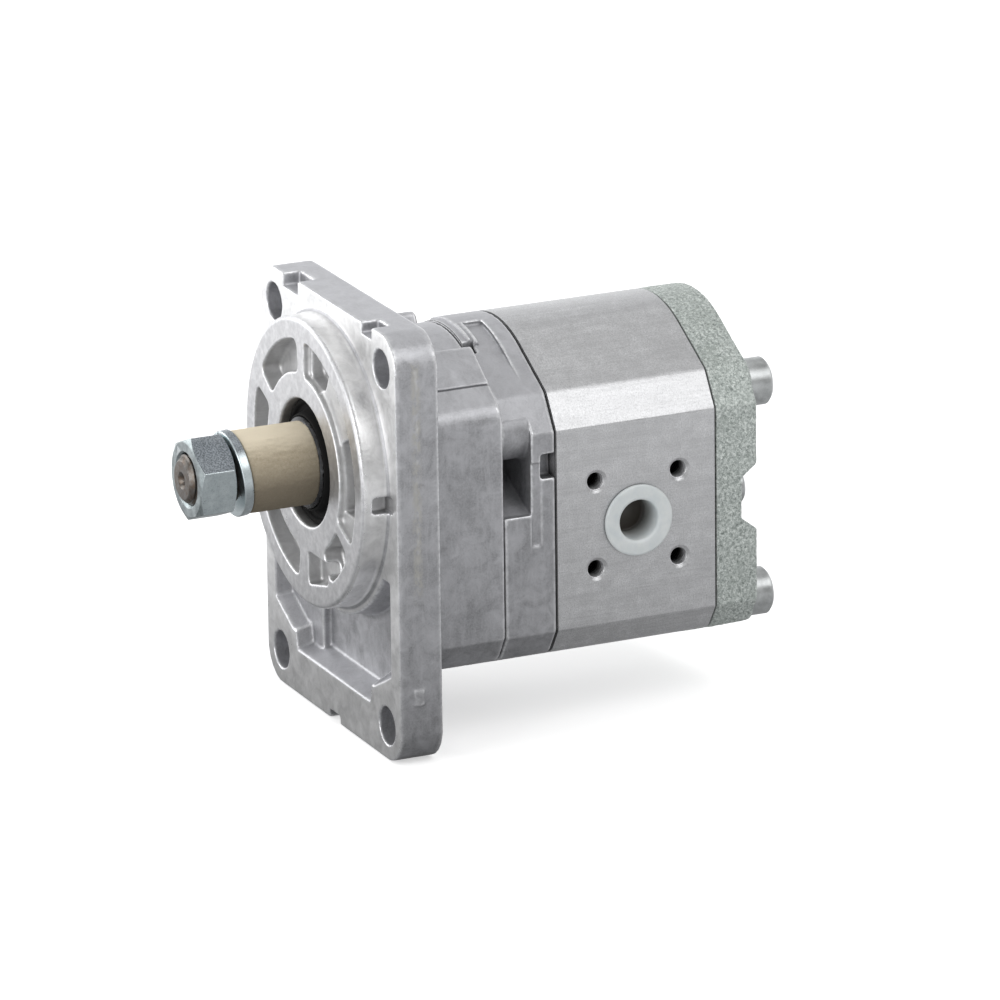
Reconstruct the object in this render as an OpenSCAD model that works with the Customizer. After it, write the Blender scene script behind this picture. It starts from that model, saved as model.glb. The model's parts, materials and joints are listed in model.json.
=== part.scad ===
// Hydraulic gear pump with an outboard shaft bearing, in millimetres.
// +Y runs along the pump axis, from the shaft end to the rear cover. +Z is up.
// The origin is on the drive shaft's axis, in the plane of the flange's mounting face.

/* [Casing] */
// Half of the width across the two port faces
half_w = 38.8; // [38:0.2:40]
// Distance between the drive and the driven gear's axes
gear_gap = 33.5; // [33:0.1:34]
// Radius of the casing's crown over the drive gear
crown_r = 34.2; // [33.5:0.1:35.5]
// Radius of the casing's belly under the driven gear
belly_r = 29.5; // [29:0.1:31]
// Top edge of the flat port face
face_top = 11.4; // [10:0.2:12]
// Bottom edge of the flat port face
face_bottom = -44.9; // [-46:0.1:-44]

/* [Joint planes along Y] */
// Bearing housing to front cover
cover_y = 34.2; // [34:0.1:35]
// Front cover to pump body
body_y = 49.4; // [49:0.1:50]
// Pump body to rear cover
rear_y = 97.2; // [97:0.1:98]
// Back of the rear cover
back_y = 109.8; // [109:0.1:111]

/* [Flange] */
// Width of the flange
flange_w = 91; // [90:0.5:93]
// Height of the flange above the shaft axis
flange_top = 44.8; // [44.5:0.1:46]
// Depth of the flange below the shaft axis
flange_bottom = -74.8; // [-76:0.1:-74.5]
// Thickness of the flange plate
flange_t = 12.4; // [12:0.1:13]
// Spacing of the flange holes across the width
bolt_w = 72; // [71:0.5:73]
// Spacing of the flange holes along the height
bolt_h = 100; // [99:0.5:101]
// Diameter of the flange holes
bolt_d = 10.6; // [9:0.1:11]
// Diameter of the pilot
pilot_d = 80; // [79:0.5:81]
// Height of the pilot above the mounting face
pilot_h = 7.6; // [7:0.1:8]
// Depth of the relief pocket in the flange's lower half
pocket_depth = 7; // [4:0.5:8]

/* [Ports] */
// Distance of the port axis behind the mounting face
port_y = 73.65; // [73:0.05:74]
// Diameter of the port bore
port_d = 15; // [13:0.5:16]
// Side of the square of port screws, which is a 35 mm bolt circle
port_square = 24.75; // [24:0.05:25.5]
// Diameter of the plug's rim
plug_rim_d = 20; // [19.4:0.1:20.4]
// Diameter of the plug's open cup
plug_cup_d = 11.3; // [10:0.1:12]

/* [Shaft] */
// Diameter of the outer seal's land on the shaft
land_d = 25; // [24:0.5:26]
// Large end of the 1:5 taper
taper_d = 20; // [19:0.5:20.5]
// Diameter of the shaft's thread, modelled plain
thread_d = 14; // [13:0.5:14]
// Width of the nut across its flats
nut_af = 21; // [20:0.5:22]
// Height of the nut
nut_h = 10.5; // [9.5:0.5:10.5]
// Outer diameter of the cardboard sleeve
sleeve_d = 22.8; // [22.4:0.1:23.4]

/* [Gears] */
// Number of teeth on each gear; an even number puts a gap opposite a tooth
teeth = 12; // [12:1:12]
// Width of the gears
gear_w = 15; // [12:0.5:16]
// Tip radius of the gears
tip_r = 19.8; // [19.6:0.1:19.9]
// Pressure angle of the teeth
pressure_angle = 24; // [23:0.5:25]
// Radius of the gear journals
journal_r = 9; // [8.8:0.1:9.2]

/* [Hidden] */

$fn = 96;

// running clearance of shafts and gears, and the gap left between parts that only touch
run_gap = 0.03;
touch = 0.05;
// an overcut, so that a cutter passes through a surface
over = 1;

// flange outline
flange_corner_r = 10;
bolt_mid = -15.1;
pilot_r = pilot_d / 2;
pilot_chamfer = 0.8;
hub_r = 24.4;
rim_in_r = 34.3;
pilot_pocket = 5.5;
pilot_recess = 1.8;

// outer shaft seal, bearing and circlips in the front housing
seal_r = 17.5;
seal_y0 = -5;
seal_y1 = 1;
web_r = 15.5;
bearing_r = 23.5;
bearing_y0 = 3;
bearing_w = 20.6;
bearing_y1 = bearing_y0 + bearing_w;
bearing_bore_r = 10;
ring_out_in_r = 20.2;
ring_in_out_r = 13.6;
pitch_r = (ring_out_in_r + ring_in_out_r) / 2;
ball_r = 3.97;
ball_count = 9;
row_offset = 4.9;
circlip_w = 1.7;
circlip_r = 24.5;

// tapped holes around the ports, drawn at the thread's core
port_screw_r = 2.6;
port_screw_depth = 13;

// waist in the front cover
waist_r = 32.6;
waist_y1 = body_y - 5.2;

// pump shaft seal in the front cover
pump_seal_r = 15;
pump_seal_y0 = cover_y + 1.2;
pump_seal_y1 = pump_seal_y0 + 7;

// shaft
land_r = land_d / 2;
taper_r = taper_d / 2;
thread_r = thread_d / 2;
housing_crown_r = crown_r - 1.2;
shaft_tip_y = -43.1;
taper_y0 = -25.6;
taper_y1 = -7.4;
shaft_end_y = 31;
tang_t = 7;
tang_y0 = 26.5;
slot_floor_y = 26;
nut_y0 = -41.75;
washer_mid_y = -28.4;
washer_t = 2.7;
washer_r = 11.9;
washer_tilt = 6;
sleeve_y0 = -25.6;
sleeve_y1 = taper_y1 - touch;
sleeve_in_r = 10.6;

// gear set
gear_mid_y = (body_y + rear_y) / 2;
gear_y0 = gear_mid_y - gear_w / 2;
gear_y1 = gear_mid_y + gear_w / 2;
pitch_circle_r = gear_gap / 2;
base_r = pitch_circle_r * cos(pressure_angle);
root_r = gear_gap - tip_r - 0.35;
backlash = 0.14;
chamber_r = tip_r + 0.06;
block_r = tip_r + 0.03;
bush_out_r = journal_r + 1.5;
seal_loop_in = 0.9;
seal_loop_w = 1.3;
seal_loop_depth = 2.4;
backup_w = 0.8;

// body seals
body_seal_r = 22.4;
body_seal_w = 1.8;
body_seal_depth = 1.4;

// screws and dowels
screw_x = 26.5;
screw_zs = [13.24, -46.76];
screw_r = 4;
screw_head_r = 6.6;
screw_head_h = 8;
screw_tip_y = 20.5;
small_screw_z = (screw_zs[0] + screw_zs[1]) / 2 + 1.2;
small_screw_r = 3;
small_head_r = 5.2;
small_head_h = 5;
small_screw_tip_y = 90;
groove_y = 105;
dowel_r = 3;
dowel_len = 12;
dowel_spots = [[30, -31], [-30, -2.5]];

// ---------- outlines ----------

// unit vector from p to q
function toward(p, q) = (q - p) / norm(q - p);

// points of the arc of radius r that rounds the corner p between its neighbours a and b
function round_corner(a, p, b, r) =
    let (u = toward(p, a), v = toward(p, b), half = acos(u * v) / 2)
    let (centre = p + toward([0, 0], u + v) * r / sin(half))
    let (t0 = p + u * r / tan(half), t1 = p + v * r / tan(half))
    let (a0 = atan2(t0.y - centre.y, t0.x - centre.x))
    let (turn0 = atan2(t1.y - centre.y, t1.x - centre.x) - a0)
    let (turn = turn0 > 180 ? turn0 - 360 : turn0 < -180 ? turn0 + 360 : turn0)
    let (steps = max(2, ceil(abs(turn) / 5)))
    [for (k = [0 : steps]) centre + r * [cos(a0 + turn * k / steps), sin(a0 + turn * k / steps)]];

// an outline of corners [x, z, radius], each one rounded by its own radius
function rounded(corners) =
    let (n = len(corners))
    [for (i = [0 : n - 1])
        let (a = corners[(i + n - 1) % n], p = corners[i], b = corners[(i + 1) % n])
        each round_corner([a[0], a[1]], [p[0], p[1]], [b[0], b[1]], p[2])];

// right half of the casing's section below its crown: flat port face, and a bevel above and below it
body_right = [
    [32.6, 21, 5],
    [half_w, face_top, 1],
    [half_w, face_bottom, 1],
    [34.2, -52, 5]
];

// right half of the bearing housing's section, with a shoulder that stands up around each cap screw
housing_right = [
    [16.4, housing_crown_r / cos(28) - 16.4 * tan(28), 0.8],
    [18.4, 32.8, 1.6],
    [30.2, 25.1, 0.4],
    [30.5, 24.5, 0.3],
    [half_w, 19.1, 7],
    [half_w, face_bottom, 1],
    [34.2, -52, 5]
];

// peak height of the two slopes whose rounded meeting is the crown or the belly
function peak(r, slope) = r / cos(slope);

function section(right, top_r, inset = 0) =
    let (left = [for (i = [len(right) - 1 : -1 : 0]) [-right[i][0], right[i][1], right[i][2]]])
    let (crown = [[0, peak(top_r, 28), top_r]])
    let (belly = [[0, -gear_gap - peak(belly_r, 21), belly_r]])
    let (pts = rounded(concat(crown, right, belly, left)))
    let (mid = -16, kx = 1 - inset / half_w, kz = 1 - inset / 48)
    [for (p = pts) [p.x * kx, mid + (p.y - mid) * kz]];

// a flat outline drawn in X and Z, made solid from y0 to y1
module slab(y0, y1) {
    translate([0, y1, 0])
        rotate([90, 0, 0])
            linear_extrude(y1 - y0)
                children();
}

// a cone or rod along Y
module rod(y0, y1, r0, r1 = undef) {
    end_r = is_undef(r1) ? r0 : r1;
    translate([0, y0, 0])
        rotate([-90, 0, 0])
            cylinder(h = y1 - y0, r1 = r0, r2 = end_r);
}

module tube(y0, y1, r_out, r_in) {
    difference() {
        rod(y0, y1, r_out);
        rod(y0 - over, y1 + over, r_in);
    }
}

// casing slice with a fine rebate on both ends, which shows as the dark joint line
module casing(y0, y1, right = body_right, top_r = crown_r) {
    rebate = 0.35;
    slab(y0, y1) polygon(section(right, top_r, 0.55));
    slab(y0 + rebate, y1 - rebate) polygon(section(right, top_r));
}

// two overlapping circles around the gear axes
module figure_eight(r) {
    circle(r);
    translate([0, -gear_gap]) circle(r);
}

module figure_eight_ring(r_out, r_in) {
    difference() {
        figure_eight(r_out);
        figure_eight(r_in);
    }
}

// the half of a figure-eight loop on the high-pressure side, from x_from outwards
module pressure_side_ring(r_out, r_in, x_from) {
    intersection() {
        figure_eight_ring(r_out, r_in);
        translate([x_from, -60]) square([40, 100]);
    }
}

module at_screws() {
    for (x = [-screw_x, screw_x], z = screw_zs)
        translate([x, 0, z]) children();
}

module at_small_screws() {
    for (x = [-screw_x, screw_x])
        translate([x, 0, small_screw_z]) children();
}

module at_dowels() {
    for (spot = dowel_spots)
        translate([spot[0], 0, spot[1]]) children();
}

// sector of a disc between two angles, used to cut a ring into pockets
module wedge(r, from, to) {
    steps = ceil((to - from) / 20);
    polygon(concat([[0, 0]], [for (k = [0 : steps]) r * [
        cos(from + (to - from) * k / steps), sin(from + (to - from) * k / steps)]]));
}

// ---------- casings ----------

module flange_outline() {
    polygon(rounded([
        [flange_w / 2, flange_top, flange_corner_r],
        [-flange_w / 2, flange_top, flange_corner_r],
        [-flange_w / 2, flange_bottom, flange_corner_r],
        [flange_w / 2, flange_bottom, flange_corner_r]
    ]));
}

module flange_bolt_holes() {
    for (x = [-bolt_w / 2, bolt_w / 2], z = [-bolt_h / 2, bolt_h / 2])
        translate([x, 0, bolt_mid + z])
            rod(-over, flange_t + over, bolt_d / 2);
}

// half of a pocket mouth mirrored into the whole one, running round it in order
function both_sides(right) =
    concat(right, [for (i = [len(right) - 1 : -1 : 0]) [-right[i].x, right[i].y]]);

// the relief pocket's mouth is two overlapping outlines, a wide one and a deep one between the bolt bosses
wide_mouth = both_sides([[39.2, -24], [39.2, -50.5], [27.5, -56.4]]);
deep_mouth = both_sides([[31.7, -30], [24.8, -61.7]]);

// everything outside one drafted wall, which stands on the line from p to q
module outside_wall(p, q) {
    slope = 0.36;
    reach = 60;
    bottom = -2 * over;
    top = pocket_depth + over;
    translate([p.x, 0, p.y])
        rotate([0, -atan2(q.y - p.y, q.x - p.x), 0])
            translate([-reach, 0, 0])
                rotate([0, 90, 0])
                    linear_extrude(2 * reach + norm(q - p))
                        polygon([
                            [bottom * slope, bottom],
                            [-reach, bottom],
                            [-reach, top],
                            [top * slope, top]
                        ]);
}

// a hollow with drafted walls under a convex mouth
module drafted_pocket(mouth) {
    n = len(mouth);
    difference() {
        slab(-over, pocket_depth) translate([-50, -70]) square([100, 60]);
        for (k = [0 : n - 1])
            outside_wall(mouth[k], mouth[(k + 1) % n]);
    }
}

// relief pocket under the pilot, with a shallower floor on the left
module flange_pocket() {
    shallow = 4.6;
    difference() {
        union() {
            drafted_pocket(wide_mouth);
            drafted_pocket(deep_mouth);
        }
        // the wall around the pilot
        rod(-2 * over, pocket_depth + over, pilot_r + 1.9, pilot_r + 3.5);
        translate([-60, shallow, -80]) cube([43, 20, 60]);
    }
}

module flange_notches() {
    // two square notches in the top edge and one in the bottom edge
    translate([-29.4, -over, 41]) cube([9.8, 5 + over, 8]);
    translate([23.4, -over, 41.5]) cube([6.6, 5 + over, 8]);
    translate([-3, -over, flange_bottom - over]) cube([7, 5.7 + over, 2.5 + over]);
}

// points along an arc of radius r, without its last one
function arc_points(centre, r, from, to) =
    let (steps = max(2, ceil(abs(to - from) / 6)))
    [for (k = [0 : steps - 1])
        let (a = from + (to - from) * k / steps)
        centre + r * [cos(a), sin(a)]];

function on_circle(r, a) = r * [cos(a), sin(a)];

// part of a ring between two angles, with rounded corners
module ring_sector(from, to, r_in, r_out, corner_r) {
    turn_out = asin(corner_r / (r_out - corner_r));
    turn_in = asin(corner_r / (r_in + corner_r));
    polygon(concat(
        arc_points(on_circle(r_out - corner_r, from + turn_out), corner_r, from - 90, from + turn_out),
        arc_points([0, 0], r_out, from + turn_out, to - turn_out),
        arc_points(on_circle(r_out - corner_r, to - turn_out), corner_r, to - turn_out, to + 90),
        arc_points(on_circle(r_in + corner_r, to - turn_in), corner_r, to + 90, to - turn_in + 180),
        arc_points([0, 0], r_in, to - turn_in, from + turn_in),
        arc_points(on_circle(r_in + corner_r, from + turn_in), corner_r, from + turn_in + 180, from + 270)
    ));
}

// deep pockets between the hub and the pilot's rim, split by radial ribs, and a shallow recess beside them
module pilot_pockets() {
    wall = 0.5;
    square_pocket = 4;
    for (angles = [[96, 146], [63, 84], [156, 205], [214, 262], [-60, -33]])
        slab(-pilot_h - over, -pilot_h + pilot_pocket)
            ring_sector(angles[0], angles[1], hub_r + wall, rim_in_r - wall, 2.2);
    slab(-pilot_h - over, -pilot_h + pilot_recess)
        ring_sector(-25, 87, hub_r, rim_in_r, 1.6);
    // pocket on the right, level along its lower edge
    slab(-pilot_h - over, -pilot_h + pilot_pocket)
        intersection() {
            ring_sector(-24, 27, hub_r + wall, rim_in_r - wall, 1.6);
            translate([0, -7.5]) square(60);
        }
    // square pocket under the hub
    slab(-pilot_h - over, -pilot_h + square_pocket)
        polygon(rounded([[2, -24.6, 1.2], [15.5, -24.6, 1.2], [15.5, -30.4, 2], [2, -33.8, 1.2]]));
}

module pilot() {
    rod(-pilot_h + pilot_chamfer, over, pilot_r);
    rod(-pilot_h, -pilot_h + pilot_chamfer, pilot_r - pilot_chamfer, pilot_r);
    rod(-0.9, over, pilot_r, pilot_r + 1.9);
}

module housing_bores() {
    rod(-pilot_h - over, seal_y1, seal_r + run_gap);
    rod(-pilot_h - over, -pilot_h + 0.6, seal_r + 0.7, seal_r);
    rod(seal_y1 - 0.01, bearing_y0 + 0.01, web_r);
    rod(bearing_y0, cover_y + over, bearing_r + run_gap);
    rod(bearing_y1 + touch, bearing_y1 + touch + circlip_w + touch, circlip_r + touch);
}

module front_housing() {
    color("#b4b6ba")
        difference() {
            union() {
                slab(0, flange_t) flange_outline();
                pilot();
                casing(flange_t - 1, cover_y, housing_right, housing_crown_r);
            }
            flange_bolt_holes();
            flange_pocket();
            flange_notches();
            pilot_pockets();
            housing_bores();
            at_screws() rod(screw_tip_y - 2, cover_y + over, screw_r + 0.1);
            // recess in the pilot's right side
            translate([36.5, -4.6, -3.9]) cube([6, 5, 4.4]);
            // small drain hole beside the hub
            translate([-9.5, 0, -26.2]) rod(-pilot_h - over, 3, 1.6);
            // slot between the flange and the crown
            translate([-6, flange_t, 33.2]) cube([9, 3.2, 8]);
        }
}

// recess in the cover's side, open towards the housing, which vents the space between the two shaft seals;
// the bevel rolls into it around the cap screw, and its floor slopes out
module cover_scoop() {
    boss_r = 7;
    roll_r = 8.1;
    roll_at = [29.3, 10.9];
    slab(cover_y - over, cover_y + 8.1)
        difference() {
            polygon(rounded([
                [half_w + 1.5, 18.1, 0.3],
                [roll_at.x, roll_at.y, 0.3],
                [20.5, 2.5, 1.5],
                [20.5, -3.2, 1.5],
                [half_w - 1.5, -11.2, 1],
                [half_w + 2, -11.2, 0.5]
            ]));
            translate([screw_x, screw_zs[0]]) circle(boss_r);
            translate(roll_at) circle(roll_r);
        }
}

// ring-shaped cut into the right of the cover's crown
module crown_cut(y0, y1, from, to, r) {
    slab(y0, y1)
        difference() {
            wedge(60, from, to);
            circle(r);
        }
}

// shallow waist beside the cover's crown, level over the gear and running out towards the side
module side_waist(y0, y1, top_angle) {
    slab(y0, y1)
        polygon(concat(
            [[32.2, 21.6]],
            arc_points([0, 0], waist_r, 62, top_angle),
            [on_circle(waist_r, top_angle), on_circle(60, top_angle), on_circle(60, 35)]
        ));
}

// waist on the right, which goes on behind a grooved rib up to the middle of the crown
module crown_waist() {
    rib_y = cover_y + 4.6;
    crown_cut(rib_y, waist_y1, 60, 86, waist_r);
    crown_cut(rib_y - 1.7, rib_y - 0.9, 63, 85, crown_r - 0.8);
    // small pocket beside the housing's shoulder
    translate([11.6, cover_y - over, 26]) cube([3.6, 3.2 + over, 10]);
}

module front_cover() {
    color("#aeb0b4")
        difference() {
            casing(cover_y, body_y);
            // the crown stands back along the housing
            crown_cut(cover_y - over, cover_y + 2, 60, 120, housing_crown_r + 0.3);
            crown_waist();
            for (side = [0, 1])
                mirror([side, 0, 0]) {
                    side_waist(cover_y - over, waist_y1, 67);
                    cover_scoop();
                }
            // square keying pockets at the body joint
            for (side = [-1, 1])
                translate([side * half_w - 4, body_y - 4.3, -1.4]) cube([8, 4.3 + over, 6.9]);
            // shallow step along the side
            for (side = [-1, 1])
                translate([side * half_w - 0.5, cover_y + 8.1, -20]) cube([1, 2.6, 23.4]);
            rod(cover_y - over, pump_seal_y1, pump_seal_r + run_gap);
            rod(pump_seal_y1 - 0.01, body_y + over, journal_r + 0.6);
            translate([0, 0, -gear_gap]) rod(body_y - 6, body_y + over, journal_r + 0.6);
            at_screws() rod(cover_y - over, body_y + over, screw_r + 0.4);
            at_dowels() rod(body_y - dowel_len / 2 - touch, body_y + over, dowel_r + run_gap);
        }
}

module port_bores() {
    for (side = [-1, 1]) {
        translate([0, port_y, -gear_gap / 2])
            rotate([0, side * 90, 0])
                translate([0, 0, 8])
                    cylinder(h = half_w, r = port_d / 2);
        for (dy = [-0.5, 0.5], dz = [-0.5, 0.5])
            translate([0, port_y + dy * port_square, -gear_gap / 2 + dz * port_square])
                rotate([0, side * 90, 0]) {
                    translate([0, 0, half_w - port_screw_depth])
                        cylinder(h = port_screw_depth + over, r = port_screw_r);
                    translate([0, 0, half_w - 0.4])
                        cylinder(h = 0.4 + over, r1 = port_screw_r, r2 = port_screw_r + 0.75 * (0.4 + over) / 0.4);
                }
    }
}

module body_seal_groove(y0, y1) {
    slab(y0, y1) figure_eight_ring(body_seal_r + body_seal_w, body_seal_r);
}

module pump_body() {
    color("#c4c6c9")
        difference() {
            casing(body_y, rear_y);
            slab(body_y - over, rear_y + over) figure_eight(chamber_r);
            port_bores();
            body_seal_groove(body_y - over, body_y + body_seal_depth);
            body_seal_groove(rear_y - body_seal_depth, rear_y + over);
            at_screws() rod(body_y - over, rear_y + over, screw_r + 0.4);
            at_small_screws() rod(small_screw_tip_y - 2, rear_y + over, small_screw_r + 0.1);
            at_dowels() {
                rod(body_y - over, body_y + dowel_len / 2 + touch, dowel_r + run_gap);
                rod(rear_y - dowel_len / 2 - touch, rear_y + over, dowel_r + run_gap);
            }
        }
}

// groove across the rear cover's back, with sloping sides
module rear_groove() {
    low = -21;
    high = -9.6;
    slope = 3.8;
    translate([-half_w - over, 0, 0])
        rotate([90, 0, 90])
            linear_extrude(2 * (half_w + over))
                polygon([
                    [groove_y, low],
                    [groove_y, high],
                    [back_y, high + slope],
                    [back_y + over, high + slope],
                    [back_y + over, low - slope],
                    [back_y, low - slope]
                ]);
}

module rear_cover() {
    color("#98a29b")
        difference() {
            casing(rear_y, back_y);
            rear_groove();
            // round seats for the cap screws' heads stay level with the back
            at_screws() rod(rear_y - over, back_y + over, screw_r + 0.4);
            at_small_screws() rod(rear_y - over, back_y + over, small_screw_r + 0.3);
            at_small_screws() rod(groove_y, back_y + over, small_head_r + 0.4);
            at_dowels() rod(rear_y - over, rear_y + dowel_len / 2 + touch, dowel_r + run_gap);
        }
}

// ---------- outboard shaft, nut and bearing ----------

module drive_shaft() {
    chamfer = 1.2;
    color("#a9acad")
        difference() {
            union() {
                rod(shaft_tip_y, shaft_tip_y + chamfer, thread_r - chamfer, thread_r);
                rod(shaft_tip_y + chamfer, taper_y0 - 2, thread_r);
                rod(taper_y0 - 2, taper_y0, thread_r - 0.6);
                rod(taper_y0, taper_y1, taper_r - (taper_y1 - taper_y0) / 10, taper_r);
                rod(taper_y1, bearing_y0, land_r);
                rod(bearing_y0, shaft_end_y, bearing_bore_r);
            }
            // centre drill in the thread's end
            rod(shaft_tip_y - 0.01, shaft_tip_y + 2, 2.4, 1);
            // slot that takes the drive gear's tang
            translate([-tang_t / 2 - 0.05, slot_floor_y, -20]) cube([tang_t + 0.1, 10, 40]);
            // groove for the shaft circlip
            tube(bearing_y1 + touch, bearing_y1 + touch + 1.3, 12, bearing_bore_r - 0.5);
            key_blank(0.02);
        }
}

// Woodruff key's disc, sitting in the taper and pointing up
module key_blank(gap) {
    key_w = 4;
    disc_r = 8;
    translate([0, -16.5, 10.35 - 6.5 + disc_r - 0.01])
        rotate([0, 90, 0])
            intersection() {
                cylinder(h = key_w + 2 * gap, r = disc_r + gap, center = true);
                translate([3 + disc_r / 2 - gap, 0, 0])
                    cube([disc_r + 3, 30, 10], center = true);
            }
}

module shaft_key() {
    color("#7d7f80")
        key_blank(0);
}

module taper_sleeve() {
    color("#c9b894")
        tube(sleeve_y0, sleeve_y1, sleeve_d / 2, sleeve_in_r);
}

// spring lock washer: a split ring that leans between the nut and the sleeve
module lock_washer() {
    split_w = 1.4;
    color("#8c979c")
        translate([0, washer_mid_y, 0])
            rotate([washer_tilt, 0, 0])
                difference() {
                    tube(-washer_t / 2, washer_t / 2, washer_r, thread_r + 0.4);
                    rotate([0, 250, 0])
                        translate([0, -washer_t, -split_w / 2])
                            cube([20, 2 * washer_t, split_w]);
                }
}

module shaft_nut() {
    corner_r = nut_af / 2 / cos(30);
    color("#8c979c")
        difference() {
            intersection() {
                translate([0, nut_y0 + nut_h, 0])
                    rotate([90, 0, 0])
                        rotate([0, 0, 21.5])
                            cylinder(h = nut_h, r = corner_r, $fn = 6);
                union() {
                    rod(nut_y0, nut_y0 + 1, corner_r - 1.9, corner_r + 0.05);
                    rod(nut_y0 + 1, nut_y0 + nut_h - 1, corner_r + 0.05);
                    rod(nut_y0 + nut_h - 1, nut_y0 + nut_h, corner_r + 0.05, corner_r - 1.9);
                }
            }
            rod(nut_y0 - over, nut_y0 + nut_h + over, thread_r + run_gap);
            rod(nut_y0 - 0.01, nut_y0 + 0.8, thread_r + 0.8, thread_r);
        }
}

module outer_shaft_seal() {
    color("#1c1c1e")
        difference() {
            tube(seal_y0, seal_y1, seal_r, land_r + run_gap);
            // open face between the lip and the case
            tube(seal_y0 - over, seal_y0 + 1.2, seal_r - 1.2, land_r + 1.6);
        }
}

// groove of one ball row, cut a little larger than the balls
module ball_track(y) {
    translate([0, y, 0])
        rotate([-90, 0, 0])
            rotate_extrude()
                translate([pitch_r, 0]) circle(ball_r + 0.05);
}

module ball_tracks() {
    mid = bearing_y0 + bearing_w / 2;
    ball_track(mid - row_offset);
    ball_track(mid + row_offset);
}

module bearing_outer_ring() {
    color("#b9bcbf")
        difference() {
            tube(bearing_y0 + touch, bearing_y1, bearing_r, ring_out_in_r);
            ball_tracks();
        }
}

module bearing_inner_ring() {
    color("#b9bcbf")
        difference() {
            tube(bearing_y0 + touch, bearing_y1, ring_in_out_r, bearing_bore_r + 0.01);
            ball_tracks();
        }
}

// places for the balls of both rows, the second row half a step on
module at_balls() {
    mid = bearing_y0 + bearing_w / 2;
    for (row = [0, 1], k = [0 : ball_count - 1])
        rotate([0, (k + row / 2) * 360 / ball_count, 0])
            translate([pitch_r, mid + (2 * row - 1) * row_offset, 0])
                children();
}

module bearing_balls() {
    color("#d4d6d8")
        at_balls() sphere(ball_r, $fn = 48);
}

// one ring for both rows, with a drilled pocket around each ball
module bearing_cage() {
    wall = 2.6;
    color("#b08d57")
        difference() {
            tube(bearing_y0 + 0.5, bearing_y1 - 0.5, pitch_r + wall / 2, pitch_r - wall / 2);
            at_balls()
                rotate([0, 90, 0])
                    cylinder(h = wall + 2 * over, r = ball_r + 0.06, center = true);
        }
}

// open ring of a circlip, with its gap at the bottom
module circlip(y0, y1, r_out, r_in) {
    difference() {
        tube(y0, y1, r_out, r_in);
        translate([-3, y0 - over, -r_out - over]) cube([6, y1 - y0 + 2 * over, 6]);
    }
}

module housing_circlip() {
    color("#6d6f72")
        circlip(bearing_y1 + 2 * touch, bearing_y1 + circlip_w, circlip_r, bearing_r - 2.6);
}

module shaft_circlip() {
    color("#6d6f72")
        circlip(bearing_y1 + 2 * touch, bearing_y1 + 1.2, bearing_bore_r + 2.4, bearing_bore_r - 0.4);
}

module pump_shaft_seal() {
    color("#1c1c1e")
        difference() {
            tube(pump_seal_y0, pump_seal_y1 - touch, pump_seal_r, journal_r + run_gap);
            tube(pump_seal_y0 - over, pump_seal_y0 + 3, pump_seal_r - 1.2, journal_r + 1.6);
        }
}

// ---------- gear set ----------

function involute_angle(r) = let (a = acos(base_r / r)) tan(a) * 180 / PI - a;

// half of a tooth's angle at radius r, less the backlash
function half_tooth(r) =
    90 / teeth + involute_angle(pitch_circle_r) - involute_angle(r) - backlash / pitch_circle_r * 45 / PI;

// one flank from the root to the tip; side is -1 for the rising and 1 for the falling flank
function flank(mid, side) =
    let (steps = 6)
    let (rs = [for (k = [0 : steps]) base_r + 0.01 + (tip_r - base_r - 0.01) * k / steps])
    let (root_angle = mid + side * (half_tooth(rs[0]) + 0.6))
    let (root_point = [root_r * [cos(root_angle), sin(root_angle)]])
    let (rise = [for (r = rs) r * [cos(mid + side * half_tooth(r)), sin(mid + side * half_tooth(r))]])
    side < 0 ? concat(root_point, rise)
             : concat([for (k = [steps : -1 : 0]) rise[k]], root_point);

// gear outline; phase turns it, in degrees
module gear_outline(phase) {
    polygon([for (k = [0 : teeth - 1])
        let (mid = phase + k * 360 / teeth)
        each concat(flank(mid, -1), flank(mid, 1))]);
}

module gear_with_journals(phase, y0, y1) {
    union() {
        slab(gear_y0, gear_y1) gear_outline(phase);
        rod(y0, y1, journal_r);
    }
}

module drive_gear() {
    color("#9fa1a3") {
        gear_with_journals(-90, shaft_end_y + 0.5, rear_y - 1.5);
        // tang that drives the gear from the outboard shaft
        intersection() {
            rod(tang_y0, shaft_end_y + 1, journal_r - 0.2);
            translate([-tang_t / 2, tang_y0, -20]) cube([tang_t, 10, 40]);
        }
    }
}

module driven_gear() {
    color("#9fa1a3")
        translate([0, 0, -gear_gap])
            gear_with_journals(90 + 180 / teeth, body_y + 1.5, rear_y - 1.5);
}

// a figure-eight block that carries both journals; outer_y is the face away from the gears
module bearing_block(y0, y1, outer_y) {
    groove_y0 = outer_y == y0 ? y0 - over : y1 - seal_loop_depth;
    groove_y1 = outer_y == y0 ? y0 + seal_loop_depth : y1 + over;
    color("#b7a98a")
        difference() {
            slab(y0, y1) figure_eight(block_r);
            for (z = [0, -gear_gap])
                translate([0, 0, z]) rod(y0 - over, y1 + over, bush_out_r);
            slab(groove_y0, groove_y1)
                pressure_side_ring(block_r - seal_loop_in, block_r - seal_loop_in - seal_loop_w - backup_w, 0.5);
        }
}

module bush_pair(y0, y1) {
    color("#a08a5c")
        for (z = [0, -gear_gap])
            translate([0, 0, z]) tube(y0, y1, bush_out_r - 0.01, journal_r + run_gap);
}

module axial_seal(y0, y1) {
    r_out = block_r - seal_loop_in - touch;
    color("#222426")
        slab(y0, y1) pressure_side_ring(r_out, r_out - seal_loop_w + 2 * touch, 0.6);
}

module seal_backup(y0, y1) {
    r_out = block_r - seal_loop_in - seal_loop_w - touch;
    color("#e2ddcf")
        slab(y0, y1) pressure_side_ring(r_out, r_out - backup_w + 2 * touch, 0.6);
}

module front_bearing_block() bearing_block(body_y + touch, gear_y0 - touch, body_y + touch);

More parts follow.
